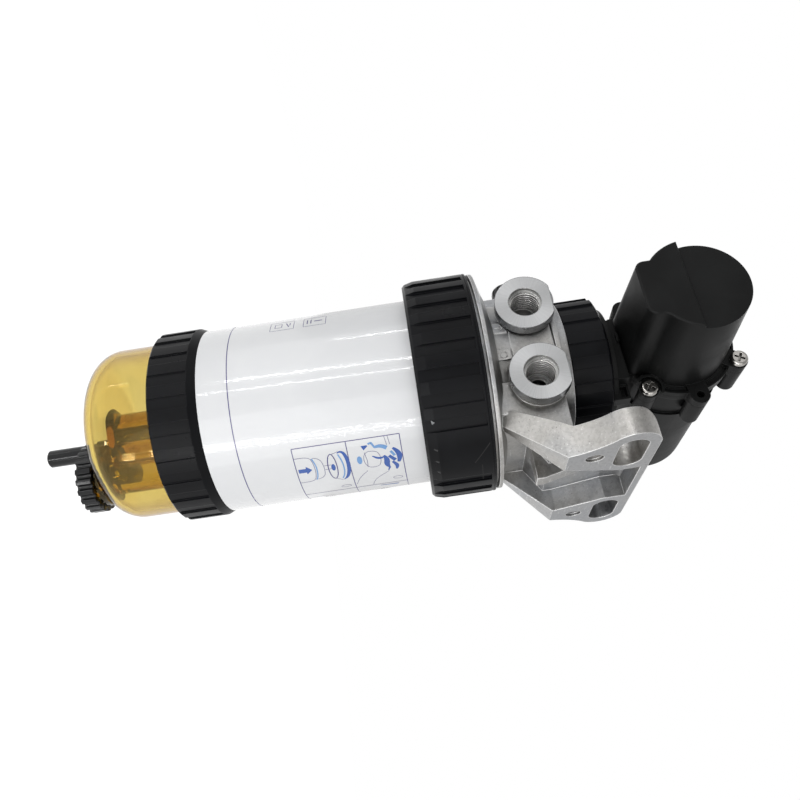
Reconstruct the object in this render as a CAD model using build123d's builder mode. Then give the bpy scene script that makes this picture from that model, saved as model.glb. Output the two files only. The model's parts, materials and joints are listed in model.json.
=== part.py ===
from build123d import *
from math import cos, radians, sin
import os

# Engine fuel filter with a quick-change element, a clear water bowl, a die-cast
# head with its wall bracket, and an electric lift pump. Z is the filter axis, up as
# fitted. The origin is on that axis, in the plane of the head's lower flange face.
# The ports face -Y, the bracket pads face +X and the pump motor lies along Y.

# Fits
running = 0.05
end_gap = 0.3

# Filter can
can_radius = 42.25
can_wall = 1.2
can_flange_lip = 4.35
can_flange_height = 3.0
can_length = 103.6
can_shoulder_step = 1.25
can_neck_wall = 1.6
can_neck_length = 12.5
can_mouth_radius = 15.0

# Lock collar
collar_height = 28.5
collar_ledge = 9.5
collar_wall = 3.5
collar_groove_depth = 1.1
collar_chamfer = 2.2
collar_chamfer_height = 5.0
collar_foot_height = 1.2
collar_rim_height = 2.2
collar_line_height = 0.7
collar_line_depth = 0.5
collar_thirds = 3
collar_rib_pitch = 12.0
collar_rib_width = 6.0
collar_land_width = 30.0
collar_land_start = -42.0

# Head seal
head_seal_height = 3.5
head_seal_width = 2.8

# Element
media_root_radius = 16.5
media_height = 84.0
pleat_count = 32
pleat_paper = 1.1
end_cap_gap = 1.45
media_gap = 1.0
end_cap_thickness = 2.0
centre_tube_radius = 15.2
centre_tube_wall = 1.0
tube_hole_radius = 2.4
tube_hole_rows = 4
tube_holes_per_row = 4
grommet_height = 7.0
spigot_radius = 3.4

# Bowl collar
bowl_collar_wall = 4.3
bowl_collar_groove_depth = 0.8
bowl_collar_band = 3.4
bowl_collar_top_inset = 0.15
bowl_collar_ledge = 3.3
bowl_rib_count = 25
bowl_rib_start = -44.4
bowl_seal_height = 2.0

# Bowl
bowl_lip = 1.6
bowl_wall = 2.6
bowl_flange_height = 3.0
bowl_depth = 36.5
bowl_corner_radius = 13.5
bowl_post_radius = 10.0
bowl_post_height = 22.0
bowl_post_flare = 3.0
drain_offset = 20.0
drain_well_radius = 8.6
drain_well_height = 33.0
drain_hole_radius = 1.8
drain_hole_rise = 3.4
drain_boss_radius = 13.2
drain_boss_height = 2.0

# Drain knob
knob_radius = 15.4
knob_height = 6.7
knob_flute_count = 20
knob_flute_radius = 1.3
stem_radius = 4.4
stem_length = 17.0
stem_bore_radius = 2.0
stem_groove_depth = 1.0
stem_seal_height = 1.8
stem_seal_rise = 1.6
spout_offset = 13.2
spout_radius = 4.0
spout_bore_radius = 2.4
spout_length = 18.5
spout_root_radius = 5.2
spout_root_height = 1.5

# Head casting
skirt_wall = 3.6
flange_gap = 1.4
flange_lip = 2.8
flange_edge = 1.6
shoulder_inset = 3.7
shoulder_height = 3.5
cone_inset = 7.7
cone_height = 5.0
waist_radius = 34.0
waist_height = 6.0
body_radius = 31.5
body_height = 36.4
roof_height = 2.0
centre_boss_radius = 12.5
valve_bore_radius = 7.5
valve_bore_top = 22.0
well_floor = 26.0
cross_passage_radius = 2.2

# Ports
port_left_x = -14.3
port_right_x = 19.4
port_height = 21.2
port_face = 39.7
port_ring_radius = 13.0
port_ring_thickness = 5.0
port_flat = 11.3
port_boss_radius = 12.0
port_thread_radius = 6.25
port_mouth_radius = 7.0
port_mouth_depth = 2.0
port_thread_depth = 15.0
port_passage_radius = 3.6
inlet_seat_radius = 5.2
seat_thickness = 2.0
web_front = 33.6
web_base = 12.3
web_top = 30.0
web_rim_base = 30.8
web_rim_top = 32.8
web_foot_front = 31.0
web_foot_width = 18.0
letter_pad_front = 34.0
letter_pad_width = 5.0
letter_pad_height = 6.4
letter_pads = ((-6.7, 8.6), (6.4, 8.5))
pillar_front = 31.5
pillar_back = 22.0
pillar_left = 18.5
outlet_drilling_end = (0.0, 0.0, 18.0)
inlet_drilling_end = (7.0, -5.0, 28.5)

# Bracket
pad_face = 58.5
pad_top = 58.5
pad_back = 48.0
pad_foot = 23.5
pad_foot_round = 14.0
pad_back_round = 8.0
arm_elbow = (46.4, 28.0)
arm_elbow_round = 10.0
arm_root = (31.8, 7.0)
arm_base = 1.0
wall_face = 48.0
wall_back = 44.0
wall_half = 26.0
wall_foot = 21.0
wall_root = 14.0
wall_root_height = 5.0
end_wall = 3.0
arm_base_corner = (29.0, 0.0)
arm_knee = (39.8, 23.5)
arm_hollow = (44.0, 33.7)
ear_start = (50.6, 41.3)
ear_side = (53.6, 48.3)
ear_end = (51.0, 54.7)
ear_corner = (47.8, 57.2)
ear_top = (43.5, 58.5)
pocket_base_corner = (26.5, 0.0)
pocket_knee = (25.4, 25.0)
pocket_hollow = (21.0, 37.0)
pocket_waist = (17.4, 46.5)
pocket_upper = (17.6, 51.0)
slot_offset = 34.6
slot_height = 48.3
slot_length = 26.0
slot_width = 11.6
dimple_height = 34.2
dimple_radius = 3.6
dimple_depth = 1.4
rib_y = -5.0
rib_width = 8.0
rib_base = 14.8
rib_reach = 54.3
rib_shoulder = 18.0
rib_top = 46.0

# Bleed screw
bleed_y = -2.4
bleed_z = 20.0
bleed_boss_radius = 7.0
bleed_boss_reach = 38.0
bleed_cap_radius = 6.8
bleed_cap_height = 8.0
bleed_cap_dome = 3.0
bleed_flute_count = 12
bleed_flute_radius = 1.0
bleed_shank_radius = 4.0
bleed_shank_length = 9.0
bleed_bore_spare = 3.0
bleed_duct_radius = 1.2
bleed_seal_height = 1.2

# Standpipe
standpipe_radius = 9.0
standpipe_wall = 1.5
standpipe_base = -30.0
standpipe_top = 8.0

# Non-return valve on top of the standpipe
valve_seat_radius = 5.0
valve_radius = 6.9
valve_thickness = 1.6
valve_stem_radius = 1.5
valve_stem_length = 5.0
spring_radius = 4.2
spring_wire = 0.5
spring_turns = 4

# Pump ring nut
nut_crest_radius = 31.0
nut_groove_depth = 0.9
nut_base = 36.9
nut_height = 17.3
nut_chamfer = 3.0
nut_chamfer_height = 1.6
nut_rib_count = 17
nut_rib_width = 9.0
nut_rib_start = -48.4
head_spigot_radius = 26.6
head_spigot_height = 9.0

# Pump neck
neck_radius = 19.5
neck_ring_radius = 25.0
neck_ring_thickness = 2.4
duct_y = 6.0
duct_radius = 4.0
insert_flange_height = 4.0
insert_radius = 15.0
insert_bore_radius = 11.0
insert_depth = 7.0
pump_seal_height = 2.4

# Pump housing and cover
saddle_height = 4.8
joint_y = -7.0
cover_length = 47.0
cover_radius = 22.3
cover_nose_width = 30.8
cover_nose_shift = -1.9
cover_nose_reach = 26.0
cover_nose_corner = 6.5
cover_throat = 2.0
cover_draft = 3.0
cover_wall = 2.2
cover_crease = 4.0
cover_step = 2.0
cover_edge = 0.6
cover_flange_radius = 25.6
cover_flange_height = 2.6
flange_groove_width = 1.6
flange_groove_depth = 0.9
flange_rim_width = 0.9
lug_circle = 27.8
lug_radius = 4.2
lug_height = 4.0
lug_angles = (-39.0, 7.0, 60.0, 120.0, 173.0, 222.0)
screw_lugs = (-39.0, 60.0, 173.0)
guard_angle = -39.0
guard_radius = 6.2
guard_wall = 1.2
guard_height = 2.4
housing_radius = 23.6
housing_wall = 2.4
housing_length = 93.2
housing_corner = 9.0
barrel_radius = 24.8
barrel_start = 14.0
lug_post_length = 15.8
screw_head_radius = 3.8
screw_head_height = 2.6
screw_head_round = 1.2
screw_shank_radius = 1.6
screw_length = 16.0
screw_recess_depth = 1.4
screw_recess_width = 1.0
screw_recess_length = 4.6
pilot_depth = 13.6
gasket_thickness = 0.8

# Saddle that carries the motor barrel on the neck
saddle_front = -18.0
saddle_left = -12.0
saddle_right = 18.0
saddle_wing_front = -12.0
saddle_wing_right = 25.0
saddle_pocket_depth = 3.0
saddle_pocket_wall = 1.0
saddle_neck_width = 26.0
clip_left = -4.4
clip_width = 4.2
clip_proud = 1.2
clip_bar = 1.2

# Connector
socket_y = 34.0
socket_width = 20.0
socket_depth = 12.0
socket_reach = 34.0
socket_wall = 1.8
socket_corner = 3.0
socket_recess = 11.0
pin_pitch = 8.0
pin_width = 2.8
pin_thickness = 0.8
pin_length = 8.0

# Motor and pump works
motor_radius = 17.0
motor_wall = 1.2
motor_top_gap = 1.0
motor_length = 76.0
magnet_thickness = 3.4
magnet_length = 42.0
magnet_arc = 130.0
rotor_gap = 0.5
core_length = 34.0
rotor_slots = 5
rotor_slot_width = 2.4
rotor_slot_depth = 4.5
winding_length = 4.0
commutator_radius = 6.0
commutator_length = 8.0
shaft_radius = 2.5
bearing_radius = 6.5
bearing_length = 6.0
brush_plate_thickness = 3.0
brush_width = 4.0
brush_length = 5.0
pump_body_length = 15.0
impeller_radius = 14.0
impeller_thickness = 4.0
vane_count = 24
vane_depth = 2.6
vane_gap_width = 1.6
port_arc_radius = 2.6
kidney_start = 20.0
kidney_arc = 120.0
end_plate_thickness = 6.0
strainer_radius = 13.0
strainer_wall = 1.0
strainer_length = 22.0
strainer_slots = 8
strainer_slot_width = 4.0

# Radii that follow from the can
can_flange_radius = can_radius + can_flange_lip
can_neck_radius = can_radius - can_shoulder_step
skirt_radius = can_flange_radius + end_gap
collar_crest_radius = skirt_radius + collar_wall
flange_radius = skirt_radius + flange_lip
shoulder_radius = skirt_radius - shoulder_inset
cone_radius = skirt_radius - cone_inset
bowl_radius = can_neck_radius - bowl_lip
bowl_collar_crest_radius = bowl_radius + bowl_collar_wall
bowl_collar_top_radius = can_radius - bowl_collar_top_inset
end_cap_radius = can_radius - can_wall - end_cap_gap
media_radius = end_cap_radius - media_gap

# Levels along the filter axis, from the head down to the spout
collar_top = -flange_gap
collar_base = collar_top - collar_height
ledge_top = collar_base + collar_ledge
can_top = ledge_top + can_flange_height
seal_top = can_top + head_seal_height
can_shoulder = can_top - can_length
can_base = can_shoulder - can_neck_length
bowl_top = can_base - bowl_seal_height
bowl_ledge = bowl_top - bowl_flange_height
bowl_collar_top = can_shoulder - end_gap
bowl_collar_base = bowl_ledge - bowl_collar_ledge
bowl_base = bowl_ledge - bowl_depth
bowl_floor = bowl_base + bowl_wall
boss_base = bowl_base - drain_boss_height
knob_top = boss_base - end_gap
knob_base = knob_top - knob_height
spout_root = knob_base - spout_root_height
spout_tip = spout_root - spout_length
drain_hole_level = bowl_floor + drain_hole_rise
seal_level = knob_top + stem_seal_rise

# Element levels
cap_top = can_top - can_wall
media_top = cap_top - end_cap_thickness
media_base = media_top - media_height
lower_cap_base = media_base - end_cap_thickness

# Levels from the head up to the pump
nut_top = nut_base + nut_height
spigot_top = body_height + head_spigot_height
insert_top = spigot_top + insert_flange_height
nut_ledge_base = insert_top + end_gap
skirt_base = seal_top
neck_base = nut_top + end_gap
neck_ring_top = neck_base + neck_ring_thickness
saddle_top = neck_ring_top + saddle_height
motor_height = saddle_top + end_gap + cover_nose_reach

# Bores that follow the piece they hold
collar_bore = skirt_radius + running
ledge_bore = can_radius + running
bowl_collar_bore = can_neck_radius + running
bowl_ledge_bore = bowl_radius + running
bowl_flange_radius = can_neck_radius - running
stem_bore = stem_radius + running
insert_bore = insert_radius + running

# Positions along the motor axis
cover_end = joint_y - cover_length
housing_face = joint_y + gasket_thickness
housing_end = housing_face + housing_length
motor_start = cover_end + cover_wall + cover_step + motor_top_gap
motor_end = motor_start + motor_length
pump_body_end = motor_end + pump_body_length
end_plate_end = pump_body_end + end_plate_thickness
strainer_end = end_plate_end + strainer_length
housing_bore = housing_radius - housing_wall
lug_face = joint_y - lug_height

# Positions of the motor's pieces, from the shaft's outer end to the pump
shaft_start = motor_start + motor_wall + end_gap
top_bearing_end = motor_start + motor_wall + bearing_length
commutator_start = top_bearing_end + brush_plate_thickness
commutator_end = commutator_start + commutator_length
brush_plate_end = commutator_start - end_gap
core_start = commutator_end + winding_length + end_gap
core_end = core_start + core_length
magnet_end = (core_start + core_end + magnet_length) / 2
impeller_end = pump_body_end - end_gap
shaft_end = impeller_end


motor_axis = Axis((0, 0, motor_height), (0, 1, 0))
motor_section = Plane(origin=(0, 0, motor_height), x_dir=(0, 1, 0), z_dir=(1, 0, 0))


def across(y, x=0.0, z=motor_height):
    """Plane square to the motor axis at a place along Y, its normal towards -Y."""
    return Plane(origin=(x, y, z), x_dir=(1, 0, 0), z_dir=(0, -1, 0))


def facing(x, y=0.0, z=0.0):
    """Plane square to X, its own axes along Y and Z."""
    return Plane(origin=(x, y, z), x_dir=(0, 1, 0), z_dir=(1, 0, 0))


def level(z, x=0.0, y=0.0):
    """Horizontal plane at height z, centred on (x, y)."""
    return Plane(origin=(x, y, z))


def disc(plane, outer, inner=0.0):
    """Round face, or a ring where an inner radius is given."""
    with BuildSketch(plane) as face:
        Circle(outer)
        if inner:
            Circle(inner, mode=Mode.SUBTRACT)
    return face.sketch


def section(points, plane=Plane.XZ):
    """Closed face through the points, given in the plane's own axes."""
    with BuildSketch(plane) as face:
        with BuildLine():
            Polyline(*points, close=True)
        make_face()
    return face.sketch


def polar(radius, angle):
    """Point at an angle in degrees."""
    return radius * cos(radians(angle)), radius * sin(radians(angle))


def ribbed(plane, crest, depth, ribs):
    """Round face with raised bands, each given as its first and last angle."""
    groove = crest - depth
    reach = crest * 2
    with BuildSketch(plane) as face:
        for first, last in ribs:
            middle = (first + last) / 2
            corners = [polar(reach, angle) for angle in (first, middle, last)]
            with BuildLine():
                Polyline((0, 0), *corners, close=True)
            make_face()
        Circle(crest, mode=Mode.INTERSECT)
        Circle(groove)
    return face.sketch


def save(node, piece):
    """Name the piece and write it as one file."""
    piece.part.label = node
    export_step(piece.part, os.path.join("parts", node + ".step"))


lug_places = [polar(lug_circle, angle) for angle in lug_angles]
os.makedirs("parts", exist_ok=True)

# Filter can: one drawn shell with the flange that the collar lifts, a top deck with
# its mouth, and a neck at the lower end that the bowl collar turns on.
with BuildPart() as canister_shell:
    inner = can_radius - can_wall
    neck_inner = can_neck_radius - can_neck_wall
    revolve(
        section([
            (can_mouth_radius, can_top),
            (can_flange_radius, can_top),
            (can_flange_radius, ledge_top),
            (can_radius, ledge_top),
            (can_radius, can_shoulder),
            (can_neck_radius, can_shoulder),
            (can_neck_radius, can_base),
            (neck_inner, can_base),
            (neck_inner, can_shoulder + can_wall),
            (inner, can_shoulder + can_wall + can_neck_wall),
            (inner, cap_top),
            (can_mouth_radius, cap_top),
        ]),
        axis=Axis.Z,
    )
save("canister_shell", canister_shell)

# Seal ring between the can and the foot of the head's skirt
with BuildPart() as head_seal:
    middle = skirt_radius - skirt_wall / 2
    half_width = head_seal_width / 2
    extrude(disc(level(can_top), middle + half_width, middle - half_width), amount=head_seal_height)
save("head_seal", head_seal)

# Lock collar: ribbed grip with three plain lands, a chamfered foot and an inner
# ledge that carries the can's flange.
with BuildPart() as lock_collar:
    third = 360 / collar_thirds
    rib_total = int((third - collar_land_width) / collar_rib_pitch)
    bands = []
    for part_turn in range(collar_thirds):
        land = collar_land_start + third * part_turn
        bands.append((land, land + collar_land_width))
        for rib in range(rib_total):
            start = land + collar_land_width + (rib + 1) * collar_rib_pitch - collar_rib_width
            bands.append((start, start + collar_rib_width))
    grip = ribbed(level(collar_base), collar_crest_radius, collar_groove_depth, bands)
    extrude(grip, amount=collar_height)
    extrude(
        disc(level(collar_top - collar_rim_height), collar_crest_radius),
        amount=collar_rim_height,
    )
    foot = collar_crest_radius - collar_chamfer
    revolve(
        section([
            (0, collar_base),
            (foot, collar_base),
            (foot + collar_foot_height, collar_base + collar_foot_height),
            (collar_crest_radius, collar_base + collar_chamfer_height),
            (collar_crest_radius, collar_top),
            (0, collar_top),
        ]),
        axis=Axis.Z,
        mode=Mode.INTERSECT,
    )
    extrude(
        disc(
            level(collar_top - collar_rim_height / 2 - collar_line_height / 2),
            collar_crest_radius + collar_line_depth,
            collar_crest_radius - collar_line_depth,
        ),
        amount=collar_line_height,
        mode=Mode.SUBTRACT,
    )
    extrude(disc(level(collar_base), ledge_bore), amount=collar_height, mode=Mode.SUBTRACT)
    extrude(disc(level(ledge_top), collar_bore), amount=collar_height, mode=Mode.SUBTRACT)
save("lock_collar", lock_collar)

# Element: upper cap with the neck that holds the grommet
grommet_top = cap_top + can_wall
grommet_base = cap_top - grommet_height
cap_neck_radius = can_mouth_radius - running
grommet_radius = cap_neck_radius - centre_tube_wall
with BuildPart() as element_top_cap:
    extrude(disc(level(media_top), end_cap_radius, grommet_radius), amount=end_cap_thickness)
    extrude(disc(level(cap_top), cap_neck_radius, grommet_radius), amount=can_wall)
save("element_top_cap", element_top_cap)

# Grommet that seals the element on the standpipe
with BuildPart() as element_grommet:
    grommet_inner = standpipe_radius
    extrude(disc(level(grommet_base), grommet_radius, grommet_inner), amount=grommet_top - grommet_base)
save("element_grommet", element_grommet)

# Pleated paper pack
with BuildPart() as filter_media:
    with BuildSketch(Plane.XY.offset(media_base)):
        half = 180 / pleat_count
        outer_points = []
        inner_points = []
        for pleat in range(pleat_count):
            outer_points.append(polar(media_radius, 2 * half * pleat))
            outer_points.append(polar(media_root_radius + pleat_paper, 2 * half * pleat + half))
            inner_points.append(polar(media_radius - 3 * pleat_paper, 2 * half * pleat))
            inner_points.append(polar(media_root_radius, 2 * half * pleat + half))
        with BuildLine():
            Polyline(*outer_points, close=True)
        make_face()
        with BuildLine():
            Polyline(*inner_points, close=True)
        make_face(mode=Mode.SUBTRACT)
    extrude(amount=media_height)
save("filter_media", filter_media)

# Perforated tube that keeps the pleats from closing in
with BuildPart() as centre_tube:
    extrude(
        disc(level(media_base), centre_tube_radius, centre_tube_radius - centre_tube_wall),
        amount=media_height,
    )
    row_pitch = media_height / (tube_hole_rows + 1)
    for row in range(tube_hole_rows):
        middle = Plane(origin=(0, 0, media_base + row_pitch * (row + 1)))
        with Locations(middle):
            with PolarLocations(0, tube_holes_per_row, start_angle=row % 2 * 180 / tube_holes_per_row):
                Cylinder(
                    tube_hole_radius,
                    centre_tube_radius * 2,
                    rotation=(0, 90, 0),
                    align=(Align.CENTER, Align.CENTER, Align.MIN),
                    mode=Mode.SUBTRACT,
                )
save("centre_tube", centre_tube)

# Lower end cap with the spigot that stands in the bowl's post
spigot_base = bowl_floor + end_gap
with BuildPart() as element_base_cap:
    extrude(disc(level(lower_cap_base), end_cap_radius), amount=end_cap_thickness)
    extrude(disc(level(spigot_base), spigot_radius), amount=lower_cap_base - spigot_base)
save("element_base_cap", element_base_cap)

# Seal between the can's neck and the bowl
with BuildPart() as bowl_seal:
    extrude(
        disc(level(bowl_top), can_neck_radius - running, can_neck_radius - can_neck_wall),
        amount=bowl_seal_height,
    )
save("bowl_seal", bowl_seal)

# Bowl collar: ribbed below, with a plain tapered band that runs into the can
with BuildPart() as bowl_collar:
    pitch = 360 / bowl_rib_count
    starts = [bowl_rib_start + pitch * rib for rib in range(bowl_rib_count)]
    bands = [(start, start + pitch / 2) for start in starts]
    grip_height = bowl_collar_top - bowl_collar_base
    extrude(
        ribbed(level(bowl_collar_base), bowl_collar_crest_radius, bowl_collar_groove_depth, bands),
        amount=grip_height,
    )
    band_base = bowl_collar_top - bowl_collar_band
    extrude(disc(level(band_base), bowl_collar_crest_radius), amount=bowl_collar_band)
    revolve(
        section([
            (0, bowl_collar_base),
            (bowl_collar_crest_radius - bowl_collar_groove_depth, bowl_collar_base),
            (bowl_collar_crest_radius, bowl_collar_base + bowl_collar_groove_depth),
            (bowl_collar_crest_radius, band_base),
            (bowl_collar_top_radius, bowl_collar_top),
            (0, bowl_collar_top),
        ]),
        axis=Axis.Z,
        mode=Mode.INTERSECT,
    )
    extrude(disc(level(bowl_collar_base), bowl_ledge_bore), amount=grip_height, mode=Mode.SUBTRACT)
    extrude(disc(level(bowl_ledge), bowl_collar_bore), amount=grip_height, mode=Mode.SUBTRACT)
save("bowl_collar", bowl_collar)

# Clear bowl: one moulding with the hollow post in its middle and the drain well to
# one side, which ends in the boss that the drain knob turns under.
with BuildPart() as bowl:
    with BuildSketch(Plane.XZ):
        with BuildLine():
            corner = (bowl_radius - bowl_corner_radius, bowl_base + bowl_corner_radius)
            foot_point = (corner[0], bowl_base)
            side_point = (bowl_radius, corner[1])
            Polyline((0, bowl_floor), (0, bowl_base), foot_point)
            RadiusArc(foot_point, side_point, -bowl_corner_radius)
            inner_side = (bowl_radius - bowl_wall, corner[1])
            inner_foot = (corner[0], bowl_floor)
            Polyline(
                side_point,
                (bowl_radius, bowl_ledge),
                (bowl_flange_radius, bowl_ledge),
                (bowl_flange_radius, bowl_top),
                (bowl_radius - bowl_wall, bowl_top),
                inner_side,
            )
            RadiusArc(inner_side, inner_foot, bowl_corner_radius - bowl_wall)
            Line(inner_foot, (0, bowl_floor))
        make_face()
    revolve(axis=Axis.Z)
    flare = bowl_post_radius + bowl_post_flare
    revolve(
        section([
            (0, bowl_floor),
            (flare, bowl_floor),
            (bowl_post_radius, bowl_floor + bowl_post_flare),
            (bowl_post_radius, bowl_floor + bowl_post_height),
            (0, bowl_floor + bowl_post_height),
        ]),
        axis=Axis.Z,
    )
    extrude(disc(level(bowl_floor, drain_offset), drain_well_radius), amount=drain_well_height)
    drain_boss = disc(level(boss_base, drain_offset), drain_boss_radius)
    extrude(drain_boss, amount=drain_boss_height + bowl_wall / 2)
    extrude(disc(level(bowl_floor), spigot_radius + end_gap), amount=bowl_post_height, mode=Mode.SUBTRACT)
    bore_height = bowl_floor + drain_well_height - boss_base
    extrude(disc(level(boss_base, drain_offset), stem_bore), amount=bore_height, mode=Mode.SUBTRACT)
    extrude(
        disc(across(drain_well_radius, drain_offset, drain_hole_level), drain_hole_radius),
        amount=2 * drain_well_radius,
        mode=Mode.SUBTRACT,
    )
save("bowl", bowl)

# Drain knob: fluted grip, a stem in the bowl's well and an eccentric spout. The stem's
# cross hole lies along X, and a quarter turn brings it in line with the well's holes.
with BuildPart() as drain_knob:
    with BuildSketch(level(knob_base, drain_offset)):
        Circle(knob_radius)
        with PolarLocations(knob_radius, knob_flute_count):
            Circle(knob_flute_radius, mode=Mode.SUBTRACT)
    extrude(amount=knob_height)
    extrude(disc(level(knob_top, drain_offset), stem_radius), amount=stem_length)
    spout_x = drain_offset - spout_offset
    extrude(disc(level(spout_root, spout_x), spout_root_radius), amount=spout_root_height + knob_height)
    extrude(disc(level(spout_tip, spout_x), spout_radius), amount=spout_length)
    chamfer(
        drain_knob.edges().filter_by(GeomType.CIRCLE).group_by(Axis.Z)[0],
        length=(spout_radius - spout_bore_radius) / 3,
    )
    passage_level = knob_base + spout_bore_radius
    extrude(
        disc(level(spout_tip, spout_x), spout_bore_radius),
        amount=passage_level - spout_tip,
        mode=Mode.SUBTRACT,
    )
    extrude(
        disc(level(passage_level, drain_offset), stem_bore_radius),
        amount=drain_hole_level - passage_level,
        mode=Mode.SUBTRACT,
    )
    extrude(
        disc(facing(drain_offset - stem_radius, 0, drain_hole_level), drain_hole_radius),
        amount=2 * stem_radius,
        mode=Mode.SUBTRACT,
    )
    passage = disc(facing(spout_x, 0, passage_level), stem_bore_radius)
    extrude(passage, amount=spout_offset, mode=Mode.SUBTRACT)
    extrude(
        disc(level(seal_level, drain_offset), stem_radius + end_gap, stem_radius - stem_groove_depth),
        amount=stem_seal_height,
        mode=Mode.SUBTRACT,
    )
save("drain_knob", drain_knob)

with BuildPart() as drain_seal:
    extrude(
        disc(level(seal_level, drain_offset), stem_radius, stem_radius - stem_groove_depth),
        amount=stem_seal_height,
    )
save("drain_seal", drain_seal)

# Head casting: skirt, flange and cone turned about the filter axis, a body with two
# port bosses, the pump's threaded spigot on top, and the bracket to one side.
thread_end = port_face - port_thread_depth
port_places = ((port_left_x, port_height), (port_right_x, port_height))
ring_back = port_ring_thickness - port_face
port_middle = (port_left_x + port_right_x) / 2
port_span = port_right_x - port_left_x


def mirrored(plane, outline, round_edge, top):
    """Face between a side outline, its rounded end and its own mirror image."""
    with BuildSketch(plane) as face:
        with BuildLine() as side:
            Polyline(*outline)
            for start, over, end in round_edge:
                ThreePointArc(start, over, end)
            Line(round_edge[-1][-1], (0, top))
            Line((0, outline[0][1]), outline[0])
            mirror(side.line, about=Plane.YZ)
        make_face()
    return face.sketch


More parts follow.
